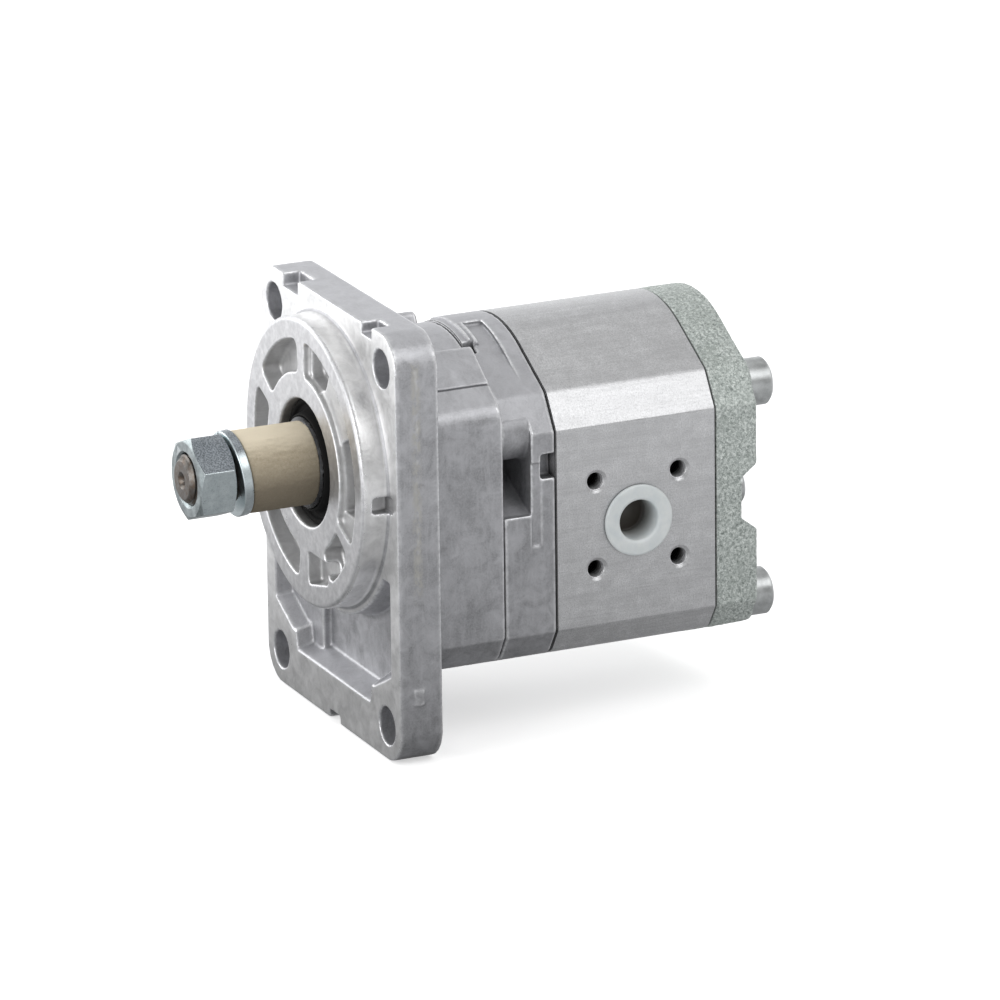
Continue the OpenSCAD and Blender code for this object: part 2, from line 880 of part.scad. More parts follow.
module rear_bearing_block() bearing_block(gear_y1 + touch, rear_y - touch, rear_y - touch);

module front_bushes() bush_pair(body_y + 0.3, gear_y0 - 0.3);

module rear_bushes() bush_pair(gear_y1 + 0.3, rear_y - 0.3);

module front_axial_seal() axial_seal(body_y + touch, body_y + seal_loop_depth);

module rear_axial_seal() axial_seal(rear_y - seal_loop_depth, rear_y - touch);

module front_seal_backup() seal_backup(body_y + touch, body_y + seal_loop_depth);

module rear_seal_backup() seal_backup(rear_y - seal_loop_depth, rear_y - touch);

module body_seal(y0, y1) {
    color("#222426")
        slab(y0, y1) figure_eight_ring(body_seal_r + body_seal_w - touch, body_seal_r + touch);
}

module front_body_seal() body_seal(body_y + touch, body_y + body_seal_depth - touch);

module rear_body_seal() body_seal(rear_y - body_seal_depth + touch, rear_y - touch);

// ---------- fasteners and plugs ----------

module dowels(y) {
    color("#8e9193")
        at_dowels() rod(y - dowel_len / 2, y + dowel_len / 2, dowel_r);
}

module front_dowels() dowels(body_y);

module rear_dowels() dowels(rear_y);

// socket-head screw along Y with its head at the back; head_y is the seat under the head
module socket_screw(tip_y, head_y, r, head_r, head_h, key_af) {
    edge = 0.8;
    difference() {
        union() {
            rod(tip_y, tip_y + 1, r - 0.8, r);
            rod(tip_y + 1, head_y + 0.01, r);
            rod(head_y, head_y + head_h - edge, head_r);
            rod(head_y + head_h - edge, head_y + head_h, head_r, head_r - edge);
        }
        translate([0, head_y + head_h + over, 0])
            rotate([90, 0, 0])
                cylinder(h = head_h * 0.5 + over, r = key_af / 2 / cos(30), $fn = 6);
    }
}

module cap_screws() {
    color("#8c9090")
        at_screws() socket_screw(screw_tip_y, back_y + touch, screw_r, screw_head_r, screw_head_h, 6);
}

module cover_screws() {
    color("#a4a8a8")
        at_small_screws()
            socket_screw(small_screw_tip_y, groove_y + touch, small_screw_r, small_head_r, small_head_h, 5);
}

// open plastic cup with a rim that rests on the port face; side is 1 for right and -1 for left
module port_plug(side) {
    rim_t = 1.1;
    cup_depth = 9;
    floor_t = 1.2;
    color("#e6e8e4")
        translate([0, port_y, -gear_gap / 2])
            rotate([0, side * 90, 0])
                difference() {
                    union() {
                        translate([0, 0, half_w + touch]) cylinder(h = rim_t, r = plug_rim_d / 2);
                        translate([0, 0, half_w - cup_depth]) cylinder(h = cup_depth + 0.5, r = port_d / 2 - 0.05);
                    }
                    translate([0, 0, half_w - cup_depth + floor_t])
                        cylinder(h = cup_depth + rim_t + over, r = plug_cup_d / 2);
                }
}

module right_port_plug() port_plug(1);

module left_port_plug() port_plug(-1);

front_housing();
front_cover();
pump_body();
rear_cover();
drive_shaft();
shaft_key();
taper_sleeve();
lock_washer();
shaft_nut();
outer_shaft_seal();
bearing_outer_ring();
bearing_inner_ring();
bearing_balls();
bearing_cage();
housing_circlip();
shaft_circlip();
pump_shaft_seal();
drive_gear();
driven_gear();
front_bearing_block();
rear_bearing_block();
front_bushes();
rear_bushes();
front_axial_seal();
rear_axial_seal();
front_seal_backup();
rear_seal_backup();
front_body_seal();
rear_body_seal();
front_dowels();
rear_dowels();
cap_screws();
cover_screws();
right_port_plug();
left_port_plug();
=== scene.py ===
import json
import math

import bmesh
import bpy
import numpy as np
from mathutils import Matrix, Vector


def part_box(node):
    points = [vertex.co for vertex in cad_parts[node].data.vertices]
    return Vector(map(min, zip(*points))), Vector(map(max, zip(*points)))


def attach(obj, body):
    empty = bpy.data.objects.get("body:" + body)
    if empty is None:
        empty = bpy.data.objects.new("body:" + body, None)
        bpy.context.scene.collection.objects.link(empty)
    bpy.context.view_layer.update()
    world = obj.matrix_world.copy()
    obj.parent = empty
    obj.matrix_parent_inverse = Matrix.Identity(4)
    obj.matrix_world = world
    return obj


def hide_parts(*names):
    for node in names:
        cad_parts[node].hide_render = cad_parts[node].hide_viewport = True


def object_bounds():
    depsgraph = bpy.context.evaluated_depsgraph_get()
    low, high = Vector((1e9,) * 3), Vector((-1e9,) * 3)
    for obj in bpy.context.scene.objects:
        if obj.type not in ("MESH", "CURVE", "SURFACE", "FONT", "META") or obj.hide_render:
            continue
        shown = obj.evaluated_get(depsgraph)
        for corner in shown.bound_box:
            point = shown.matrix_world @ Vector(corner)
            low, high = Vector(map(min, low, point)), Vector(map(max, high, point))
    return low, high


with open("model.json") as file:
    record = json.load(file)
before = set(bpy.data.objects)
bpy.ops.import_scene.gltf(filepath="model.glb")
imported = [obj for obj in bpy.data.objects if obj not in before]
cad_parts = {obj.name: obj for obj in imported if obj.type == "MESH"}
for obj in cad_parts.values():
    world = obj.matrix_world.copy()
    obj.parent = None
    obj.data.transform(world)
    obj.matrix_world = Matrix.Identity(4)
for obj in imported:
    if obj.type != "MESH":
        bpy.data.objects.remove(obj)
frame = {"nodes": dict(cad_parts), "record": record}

CAD_LO, CAD_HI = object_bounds()
MM = 0.001  # one millimetre in metres; lengths below are in mm unless a comment says otherwise
NODES = frame["nodes"]
BODY_OF = {n: b for b, ns in frame["record"]["behaviour"]["bodies"].items() for n in ns}
SLOT_OF = {s["node"]: s["material_slot"] for s in frame["record"]["subparts"]}
MOUNT = {m["name"]: m["dims"] for m in frame["record"]["mounts"]}


def box_mm(node):
    """The low and high corner of a node's box in mm."""
    lo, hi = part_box(node)
    return np.array(lo) / MM, np.array(hi) / MM


# ---------------------------------------------------------------- noise for geometry


def lattice(ix, iy, iz, seed):
    """A repeatable number from 0 to 1 for each lattice point."""
    h = (ix * 73856093) ^ (iy * 19349663) ^ (iz * 83492791) ^ (seed * 2654435761)
    h = (h ^ (h >> 13)) * 1274126177
    h = h ^ (h >> 16)
    return (h & 0xFFFFFF) / float(0xFFFFFF)


def value_noise(p, scale, seed=1):
    """Smooth noise from -1 to 1 at points p, with cells of the given size, both in mm."""
    q = p / scale + 1000.0
    base = np.floor(q).astype(np.int64)
    f = q - base
    f = f * f * (3 - 2 * f)
    total = 0.0
    for dx in (0, 1):
        for dy in (0, 1):
            for dz in (0, 1):
                w = (
                    (f[:, 0] if dx else 1 - f[:, 0])
                    * (f[:, 1] if dy else 1 - f[:, 1])
                    * (f[:, 2] if dz else 1 - f[:, 2])
                )
                total = total + w * lattice(
                    base[:, 0] + dx, base[:, 1] + dy, base[:, 2] + dz, seed
                )
    return total * 2 - 1


# ---------------------------------------------------------------- mesh helpers


def points_mm(mesh):
    """The mesh's points in mm, one row each."""
    co = np.empty(len(mesh.vertices) * 3, np.float32)
    mesh.vertices.foreach_get("co", co)
    return co.reshape(-1, 3).astype(float) / MM


def set_points_mm(mesh, p):
    mesh.vertices.foreach_set("co", (p * MM).astype(np.float32).ravel())
    mesh.update()


def normals_of(mesh):
    n = np.empty(len(mesh.vertices) * 3, np.float32)
    mesh.vertex_normals.foreach_get("vector", n)
    return n.reshape(-1, 3).astype(float)


def add(name, mesh, node, material):
    """Puts a mesh in the scene as a piece that stands for the node and rides on its body."""
    obj = bpy.data.objects.new(name, mesh)
    bpy.context.scene.collection.objects.link(obj)
    mesh.materials.clear()
    mesh.materials.append(material)
    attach(obj, BODY_OF[node])
    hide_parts(node)
    return obj


def welded_bmesh(node):
    """The node's CAD mesh with its split vertices joined."""
    bm = bmesh.new()
    bm.from_mesh(NODES[node].data)
    bmesh.ops.remove_doubles(bm, verts=bm.verts, dist=0.002 * MM)
    return bm


def mesh_from(bm, name):
    mesh = bpy.data.meshes.new(name)
    bm.to_mesh(mesh)
    bm.free()
    return mesh


def with_modifiers(mesh, name, *steps):
    """Applies modifiers, each given as (type, {setting: value}), and returns the new mesh."""
    holder = bpy.data.objects.new("holder", mesh)
    bpy.context.scene.collection.objects.link(holder)
    for kind, settings in steps:
        modifier = holder.modifiers.new(kind.lower(), kind)
        for key, value in settings.items():
            setattr(modifier, key, value)
    bpy.context.view_layer.update()
    depsgraph = bpy.context.evaluated_depsgraph_get()
    out = bpy.data.meshes.new_from_object(holder.evaluated_get(depsgraph))
    out.name = name
    bpy.data.objects.remove(holder)
    return out


def softened(node, voxel, rounds):
    """The node remeshed at this voxel size and smoothed, so that its edges are rounded as on a casting."""
    mesh = mesh_from(welded_bmesh(node), node + "_welded")
    for attribute in list(mesh.attributes):
        if attribute.name in ("custom_normal", "sharp_edge", "sharp_face"):
            mesh.attributes.remove(attribute)
    return with_modifiers(
        mesh,
        node + "_cast",
        ("REMESH", {"mode": "VOXEL", "voxel_size": voxel * MM, "adaptivity": 0.0}),
        ("SMOOTH", {"factor": 0.5, "iterations": rounds}),
    )


def thinned(mesh, most_faces):
    """Collapses the mesh to at most this many triangles."""
    count = sum(len(p.vertices) - 2 for p in mesh.polygons)
    if count <= most_faces:
        return mesh
    settings = {"decimate_type": "COLLAPSE", "ratio": most_faces / count}
    return with_modifiers(mesh, mesh.name, ("DECIMATE", settings))


def smooth_shaded(obj, weighted=True):
    """Shades a piece smooth; weighted normals keep its large faces looking flat."""
    obj.data.shade_smooth()
    if weighted:
        modifier = obj.modifiers.new("weighted", "WEIGHTED_NORMAL")
        modifier.keep_sharp = False
        modifier.weight = 80


def bevelled(node, name, width, segments=2, angle=28):
    """The node's CAD mesh with its flat faces joined and its edges bevelled."""
    bm = welded_bmesh(node)
    bmesh.ops.dissolve_limit(
        bm, angle_limit=math.radians(0.5), verts=bm.verts, edges=bm.edges
    )
    mesh = mesh_from(bm, name)
    return with_modifiers(
        mesh,
        name,
        (
            "BEVEL",
            {
                "width": width * MM,
                "segments": segments,
                "limit_method": "ANGLE",
                "angle_limit": math.radians(angle),
                "use_clamp_overlap": True,
                "harden_normals": False,
            },
        ),
    )


def lathe(name, outline, axis="y", centre=(0, 0, 0), steps=128, wave=None):
    """A closed outline of (radius, height) points turned around an axis through the centre.

    A wave gives what to add to a point's radius at each angle, height and radius.
    """
    bm = bmesh.new()
    rings = []
    for k in range(steps):
        a = 2 * math.pi * k / steps
        ring = []
        for r, h in outline:
            rr = r + (wave(a, h, r) if wave else 0.0)
            u, v = rr * math.cos(a), rr * math.sin(a)
            p = (u, h, v) if axis == "y" else (h, u, v)
            ring.append(bm.verts.new([(c + q) * MM for c, q in zip(centre, p)]))
        rings.append(ring)
    n = len(outline)
    for k in range(steps):
        a, b = rings[k], rings[(k + 1) % steps]
        for i in range(n):
            j = (i + 1) % n
            bm.faces.new((a[i], a[j], b[j], b[i]))
    bmesh.ops.remove_doubles(bm, verts=bm.verts, dist=1e-4 * MM)
    bmesh.ops.dissolve_degenerate(bm, edges=bm.edges, dist=1e-5 * MM)
    bmesh.ops.recalc_face_normals(bm, faces=bm.faces)
    return mesh_from(bm, name)


def joined(name, meshes):
    """One mesh made of several."""
    bm = bmesh.new()
    for mesh in meshes:
        bm.from_mesh(mesh)
    return mesh_from(bm, name)


def wall_points(radius, low, high, count):
    """Evenly spaced outline points up a straight wall, for a wave to turn into a thread."""
    return [(radius, low + (high - low) * k / count) for k in range(count + 1)]


def thread_ridge(height, angle, pitch):
    """How far out a point lies on a thread's helix, from 0 to 1."""
    return abs(((height / pitch - angle / (2 * math.pi)) % 1.0) * 2 - 1)


# ---------------------------------------------------------------- materials


class Nodes:
    """A short way to write a node material."""

    def __init__(self, name):
        self.mat = bpy.data.materials.new(name)
        self.mat.use_nodes = True
        self.tree = self.mat.node_tree
        self.bsdf = self.tree.nodes["Principled BSDF"]
        self.coords = self.new("ShaderNodeTexCoord").outputs["Object"]

    def new(self, kind, **settings):
        node = self.tree.nodes.new(kind)
        for key, value in settings.items():
            setattr(node, key, value)
        return node

    def put(self, socket, value):
        if isinstance(value, bpy.types.NodeSocket):
            self.tree.links.new(value, socket)
        elif isinstance(value, (tuple, list)) and len(value) == 3 and socket.type == "RGBA":
            socket.default_value = (*value, 1)
        else:
            socket.default_value = value

    def set(self, name, value):
        self.put(self.bsdf.inputs[name], value)

    def stretched(self, x, y, z):
        """Object coordinates in millimetres, stretched along the axes."""
        m = self.new("ShaderNodeMapping")
        m.inputs["Scale"].default_value = (x / MM, y / MM, z / MM)
        self.put(m.inputs["Vector"], self.coords)
        return m.outputs["Vector"]

    def noise(self, size, detail=3.0, rough=0.55, vector=None, distort=0.0):
        """Noise with features of about this size in mm, from 0 to 1."""
        n = self.new("ShaderNodeTexNoise")
        self.put(n.inputs["Vector"], vector or self.stretched(1, 1, 1))
        self.put(n.inputs["Scale"], 1.0 / size)
        self.put(n.inputs["Detail"], detail)
        self.put(n.inputs["Roughness"], rough)
        self.put(n.inputs["Distortion"], distort)
        return n.outputs["Fac"]

    def cells(self, size):
        """Distance to the nearest point of a random scatter with this spacing in mm."""
        v = self.new("ShaderNodeTexVoronoi", feature="F1")
        self.put(v.inputs["Vector"], self.stretched(1, 1, 1))
        self.put(v.inputs["Scale"], 1.0 / size)
        return v.outputs["Distance"]

    def ramp(self, fac, *stops):
        """Colours at places from 0 to 1, each given as (place, colour)."""
        r = self.new("ShaderNodeValToRGB")
        self.put(r.inputs["Fac"], fac)
        e = r.color_ramp.elements
        while len(e) < len(stops):
            e.new(0.5)
        for el, (at, c) in zip(e, stops):
            el.position = at
            el.color = (*c, 1)
        return r.outputs["Color"]

    def range(self, fac, lo, hi, a=0.0, b=1.0):
        """Goes from a to b while the value goes from lo to hi, and stays between a and b."""
        m = self.new("ShaderNodeMapRange")
        names = ("Value", "From Min", "From Max", "To Min", "To Max")
        for key, value in zip(names, (fac, lo, hi, a, b)):
            self.put(m.inputs[key], value)
        return m.outputs["Result"]

    def math(self, op, a, b=0.0):
        m = self.new("ShaderNodeMath", operation=op)
        self.put(m.inputs[0], a)
        self.put(m.inputs[1], b)
        return m.outputs[0]

    def mix(self, fac, a, b):
        """Colour a where the factor is 0, colour b where it is 1."""
        m = self.new("ShaderNodeMix", data_type="RGBA", blend_type="MIX")
        self.put(m.inputs[0], fac)
        self.put(m.inputs[6], a)
        self.put(m.inputs[7], b)
        return m.outputs[2]

    def bump(self, height, depth, strength=1.0):
        """Bump of this depth in mm."""
        b = self.new("ShaderNodeBump")
        self.put(b.inputs["Height"], height)
        self.put(b.inputs["Distance"], depth * MM)
        self.put(b.inputs["Strength"], strength)
        return b.outputs["Normal"]

    def axis(self, index):
        """The place along x, y or z in mm."""
        s = self.new("ShaderNodeSeparateXYZ")
        self.put(s.inputs[0], self.coords)
        return self.math("MULTIPLY", s.outputs[index], 1 / MM)

    def facing(self, index, sign=1):
        """How far the surface faces along an axis, from -1 to 1."""
        c = self.new("ShaderNodeTexCoord")
        s = self.new("ShaderNodeSeparateXYZ")
        self.put(s.inputs[0], c.outputs["Normal"])
        return self.math("MULTIPLY", s.outputs[index], sign)

    def both(self, a, b):
        return self.math("MULTIPLY", a, b)

    def either(self, a, b):
        return self.math("MAXIMUM", a, b)

    def near(self, value, at, width, soft):
        """1 within this distance of the value, falling to 0 over the soft distance."""
        off = self.math("ABSOLUTE", self.math("SUBTRACT", value, at))
        return self.range(off, width, width + soft, 1.0, 0.0)

    def edges(self, lo, hi):
        """Edge mask: 1 on convex edges, where wear and painted highlights go."""
        g = self.new("ShaderNodeNewGeometry")
        return self.range(g.outputs["Pointiness"], lo, hi)

    def length(self, a, b):
        """The distance that two coordinates make together."""
        return self.math("SQRT", self.math("ADD", self.both(a, a), self.both(b, b)))

    def depth(self, distance):
        """1 in the open, 0 deep in a crevice, looking this many mm around."""
        ao = self.new("ShaderNodeAmbientOcclusion")
        ao.samples = 6
        self.put(ao.inputs["Distance"], distance * MM)
        return ao.outputs["AO"]

    def joint_lines(self, planes):
        """1 on the fine gaps between the casing's parts, at these places along the pump axis.

        A face that lies in such a plane is no gap, so it stays 0.
        """
        y = self.axis(1)
        total = None
        for at in planes:
            line = self.near(y, at, 0.2, 0.12)
            total = line if total is None else self.either(total, line)
        across = self.range(self.math("ABSOLUTE", self.facing(1)), 0.7, 0.9, 1.0, 0.0)
        return self.both(total, across)


def scaled(c, k):
    return tuple(x * k for x in c)


# the colour of the painted shade in crevices
CREVICE_SHADE = (0.035, 0.035, 0.038)
JOINT_BLACK = (0.006, 0.006, 0.007)


def finish_metal(m, color, rough, metallic, joints=(), crevice_shade=0.6, reach=6.0, edge=None, edge_wear_and_highlight_color=None):
    """Paints shade into crevices, darkens joint lines, and paints highlights with some wear on edges that are
    as sharp as the edge's range says.
    """
    # painted shade: crevices found by ambient occlusion are darkened
    open_air = m.range(m.depth(reach), 0.1, 0.72)
    color = m.mix(m.math("MULTIPLY", m.math("SUBTRACT", 1.0, open_air), crevice_shade), color, CREVICE_SHADE)
    if edge:
        # painted highlight on convex edges, with some wear, broken up by noise
        edge_wear_and_highlight = m.both(m.edges(*edge), m.range(m.noise(1.3, 3.0, 0.6), 0.35, 0.6, 0.45, 1.0))
        color = m.mix(edge_wear_and_highlight, color, edge_wear_and_highlight_color)
        rough = m.math("SUBTRACT", rough, m.math("MULTIPLY", edge_wear_and_highlight, 0.1))
    if joints:
        line = m.joint_lines(joints)
        color = m.mix(line, color, JOINT_BLACK)
        rough = m.math("MAXIMUM", rough, m.math("MULTIPLY", line, 0.9))
        metallic = m.math("SUBTRACT", metallic, m.math("MULTIPLY", line, 0.85))
    m.set("Base Color", color)
    m.set("Roughness", rough)
    m.set("Metallic", metallic)
    return m.mat


def cast_metal(name, tone, spread, rough, joints, crevice_shade, reach, flange=False):
    """Die-cast light alloy with cloudy patches, flow streaks and dark specks."""
    m = Nodes(name)
    base = scaled((0.985, 0.99, 1.03), tone)
    pale = scaled(base, 1 + 1.2 * spread)
    clouds = m.noise(5.5, 4.0, 0.62, distort=0.9)
    broad = m.noise(17.0, 3.0, 0.55, distort=0.5)
    fine = m.noise(0.5, 2.0, 0.7)
    flow = m.noise(1.6, 3.0, 0.6, vector=m.stretched(1, 1, 0.16), distort=0.5)
    color = m.mix(m.range(clouds, 0.34, 0.68), scaled(base, 1 - spread), scaled(base, 1 + spread))
    color = m.mix(m.range(broad, 0.4, 0.66, 0.0, 0.5), color, scaled(base, 1 - 1.5 * spread))
    color = m.mix(m.range(flow, 0.5, 0.72, 0.0, 0.4), color, pale)
    color = m.mix(m.range(fine, 0.35, 0.75, 0.0, 0.5), color, pale)
    color = m.mix(m.range(m.cells(1.7), 0.03, 0.11, 0.4, 0.0), color, scaled(base, 0.45))
    # painted light from above: surfaces facing up are paler than the sides
    color = m.mix(m.range(m.facing(2), 0.45, 0.9, 0.0, 0.4), color, scaled(base, 1.75))
    cloudy = m.math("ADD", clouds, m.math("MULTIPLY", fine, 0.6))
    rough_out = m.range(cloudy, 0.4, 1.2, rough - 0.08, rough + 0.1)
    if flange:
        color, rough_out = flange_marks(m, color, rough_out, clouds)
    peel = m.noise(1.1, 3.0, 0.6)
    m.set("Normal", m.bump(m.math("ADD", peel, m.math("MULTIPLY", fine, 0.7)), 0.055))
    return finish_metal(m, color, rough_out, 0.8, joints, crevice_shade, reach, (0.504, 0.53), (0.88, 0.885, 0.90))


def flange_marks(m, color, rough, clouds):
    """The housing's bright turned faces, paler pilot pockets, a painted highlight at its joint, a painted
    shadow line under each shoulder, and marks along its flash line.
    """
    x, y, z = m.axis(0), m.axis(1), m.axis(2)
    across = m.math("ABSOLUTE", x)
    away = m.length(x, z)

    # the mounting face, the pilot's front ring and the pilot's side are turned
    front = m.range(m.facing(1, -1), 0.9, 0.985)
    faces = m.either(m.near(y, FLANGE_FACE, 0.3, 0.3), m.near(y, PILOT_FACE, 0.3, 0.3))
    side = m.range(y, FLANGE_FACE - 0.6, FLANGE_FACE - 0.9)
    side = m.both(m.range(away, PILOT_R - 0.5, PILOT_R - 0.2), side)
    side = m.both(side, m.range(away, PILOT_R + 0.6, PILOT_R + 0.3))
    turned = m.either(m.both(front, faces), side)
    rings = m.noise(0.5, 3.0, 0.6, vector=m.stretched(0.25, 0.25, 0.25))
    ring_face = m.range(y, PILOT_FACE + 0.6, PILOT_FACE + 0.3)
    bright = m.mix(m.range(clouds, 0.35, 0.7), (TURNED_TONE * 0.84,) * 3, (TURNED_TONE * 1.12,) * 3)
    bright = m.mix(m.math("MULTIPLY", ring_face, 0.75), bright, (0.44, 0.44, 0.455))
    bright = m.mix(m.range(rings, 0.4, 0.7, 0.0, 0.35), bright, scaled((1, 1, 1.01), TURNED_TONE * 1.2))

    # the pilot's pockets are paler than the rest of the casting
    inside = m.both(m.range(away, PILOT_R - 0.6, PILOT_R - 1.2), m.range(y, 0.5, 0.0))
    pocket_pale = m.mix(m.range(clouds, 0.34, 0.68), (0.53,) * 3, (0.70,) * 3)
    color = m.mix(m.math("MULTIPLY", inside, 0.85), color, pocket_pale)
    color = m.mix(turned, color, bright)

    # a painted highlight along the housing's edge at the joint with the cover, and a painted shadow line
    # under each shoulder
    rim = m.both(m.near(y, COVER_Y - 0.62, 0.16, 0.2), m.range(z, 8.0, 14.0))
    color = m.mix(m.math("MULTIPLY", rim, 0.7), color, (0.85, 0.85, 0.87))
    under = m.both(m.near(across, SHOULDER_X, 0.12, 0.2), m.range(z, 22.5, 23.5))
    under = m.both(under, m.range(y, 13.0, 14.0))
    color = m.mix(m.math("MULTIPLY", under, 0.85), color, (0.03, 0.03, 0.035))

    # trimmed flash along the flange's narrow sides
    edge = m.range(across, FLANGE_SIDE - 0.8, FLANGE_SIDE - 0.4)
    strip = m.both(m.near(y, FLASH_Y, 0.8, 0.9), edge)
    strip = m.both(strip, m.range(z, FLASH_END, FLASH_FULL))
    ragged = m.range(m.noise(1.5, 5.0, 0.8, vector=m.stretched(1, 1, 0.6)), 0.44, 0.56)
    color = m.mix(m.math("MULTIPLY", m.both(strip, ragged), 0.7), color, (0.50, 0.49, 0.455))
    return color, m.math("SUBTRACT", rough, m.math("MULTIPLY", turned, 0.12))


def machined_metal(name, tone, rough, spread=0.13, joints=(), crevice_shade=0.8, bores=False):
    """Extruded and milled light alloy: long faint streaks, mottling and small scuffs."""
    m = Nodes(name)
    base = scaled((0.99, 0.995, 1.01), tone)
    streaks = m.noise(0.6, 4.0, 0.7, vector=m.stretched(1, 0.03, 1))
    broad = m.noise(3.5, 3.0, 0.6, vector=m.stretched(1, 0.12, 1))
    clouds = m.noise(4.0, 5.0, 0.65, distort=0.4)
    fine = m.noise(0.4, 3.0, 0.75)
    color = m.mix(m.range(clouds, 0.35, 0.7), scaled(base, 1 - spread), scaled(base, 1 + spread))
    color = m.mix(m.range(broad, 0.42, 0.64, 0.0, 0.5), color, scaled(base, 1 - 1.3 * spread))
    color = m.mix(m.range(streaks, 0.35, 0.7, 0.0, 0.5), color, scaled(base, 1 + 1.3 * spread))
    color = m.mix(m.range(fine, 0.4, 0.7, 0.0, 0.8), color, scaled(base, 1 - 2.3 * spread))
    color = m.mix(m.range(m.cells(1.3), 0.03, 0.1, 0.45, 0.0), color, scaled(base, 0.5))
    if bores:
        # painted shade: the tapped holes darken to black with depth
        bright_to, dark_from = PORT_FACE_X - 2.0, PORT_FACE_X - 5.5
        into = m.range(m.math("ABSOLUTE", m.axis(0)), bright_to, dark_from, 0.0, 0.98)
        color = m.mix(into, color, (0.01, 0.01, 0.01))
    rough_out = m.range(m.math("ADD", streaks, clouds), 0.7, 1.3, rough - 0.06, rough + 0.1)
    m.set("Normal", m.bump(m.math("ADD", streaks, m.math("MULTIPLY", fine, 0.7)), 0.03))
    return finish_metal(m, color, rough_out, 0.85, joints, crevice_shade, reach=3.5)


def sand_cast(name, joints=()):
    """Sand-cast, blasted light alloy: a pebbled greenish grey skin with bright high spots."""
    m = Nodes(name)
    pebbles = m.noise(0.75, 3.0, 0.65, distort=0.8)
    grains = m.noise(0.28, 2.0, 0.6)
    clouds = m.noise(9.0, 3.0, 0.55)
    color = m.ramp(
        m.math("ADD", m.math("MULTIPLY", pebbles, 0.7), m.math("MULTIPLY", grains, 0.3)),
        (0.34, (0.19, 0.22, 0.205)),
        (0.5, (0.54, 0.585, 0.56)),
        (0.63, (0.88, 0.92, 0.89)),
    )
    color = m.mix(m.range(clouds, 0.4, 0.65, 0.0, 0.25), color, (0.44, 0.48, 0.45))
    m.set("Normal", m.bump(m.math("ADD", pebbles, m.math("MULTIPLY", grains, 0.5)), 0.26, 1.0))
    rough = m.range(grains, 0.3, 0.7, 0.46, 0.62)
    return finish_metal(m, color, rough, 0.75, joints, edge=(0.52, 0.62), edge_wear_and_highlight_color=(0.85, 0.88, 0.86))


def zinc_plate(name, dull=0.0):
    """Bluish zinc plating: smooth on the sides, pitted and darkened with painted shade on top, and darkened
    in front with painted shade as strong as dull asks.
    """
    m = Nodes(name)
    clouds = m.noise(2.5, 3.0, 0.6)
    pits = m.noise(0.42, 3.0, 0.75)
    color = m.mix(m.range(clouds, 0.35, 0.7), (0.53, 0.605, 0.625), (0.67, 0.745, 0.76))
    color = m.mix(m.range(pits, 0.5, 0.72, 0.0, 0.45), color, (0.20, 0.23, 0.25))
    # painted shade on the top flats, speckled by the pits
    up = m.both(m.range(m.facing(2), 0.55, 0.75), m.range(m.facing(1, -1), 0.45, 0.25))
    top_shade = m.mix(m.range(pits, 0.4, 0.58), (0.33, 0.365, 0.41), (0.03, 0.04, 0.055))
    color = m.mix(m.math("MULTIPLY", up, 0.92), color, top_shade)
    # painted shade on faces turned to the front, as strong as dull asks
    front = m.range(m.facing(1, -1), 0.35, 0.8)
    front_shade_color = m.mix(m.range(clouds, 0.4, 0.65), (0.13, 0.15, 0.155), (0.30, 0.335, 0.34))
    color = m.mix(m.math("MULTIPLY", front, dull), color, front_shade_color)
    # painted highlight on convex edges
    color = m.mix(m.math("MULTIPLY", m.edges(0.51, 0.56), 0.45), color, (0.84, 0.88, 0.90))
    m.set("Base Color", color)
    m.set("Metallic", 1.0)
    m.set("Roughness", m.range(clouds, 0.3, 0.7, 0.26, 0.38))
    m.set("Normal", m.bump(pits, 0.04, 0.8))
    return m.mat


def steel(name, tone, rough=0.3, tint=(1, 1, 1), oily=0.0, shaded_stretch=None):
    """Ground or turned steel with fine rings around the pump axis."""
    m = Nodes(name)
    base = scaled(tint, tone)
    lines = m.noise(0.16, 2.0, 0.6, vector=m.stretched(0.02, 1, 0.02))
    clouds = m.noise(3.0, 4.0, 0.6)
    fine = m.noise(0.3, 2.0, 0.7)
    color = m.mix(m.range(clouds, 0.35, 0.68), scaled(base, 0.78), scaled(base, 1.15))
    color = m.mix(m.range(fine, 0.5, 0.75, 0.0, 0.4), color, scaled(base, 0.5))
    if oily:
        color = m.mix(m.range(m.noise(1.6, 3.0, 0.6), 0.4, 0.65, 0.0, oily), color, (0.10, 0.07, 0.05))
    if shaded_stretch:
        # painted shade: this stretch along the shaft, which lies in shadow, is darkened
        low, high = shaded_stretch
        stretch_shade = m.near(m.axis(1), (low + high) / 2, (high - low) / 2, 0.3)
        color = m.mix(m.math("MULTIPLY", stretch_shade, 0.86), color, (0.035, 0.036, 0.04))
    m.set("Base Color", color)
    m.set("Metallic", 1.0)
    m.set("Roughness", m.range(m.math("ADD", lines, clouds), 0.7, 1.3, rough - 0.07, rough + 0.1))
    m.set("Normal", m.bump(m.math("ADD", lines, m.math("MULTIPLY", fine, 0.6)), 0.012))
    return m.mat


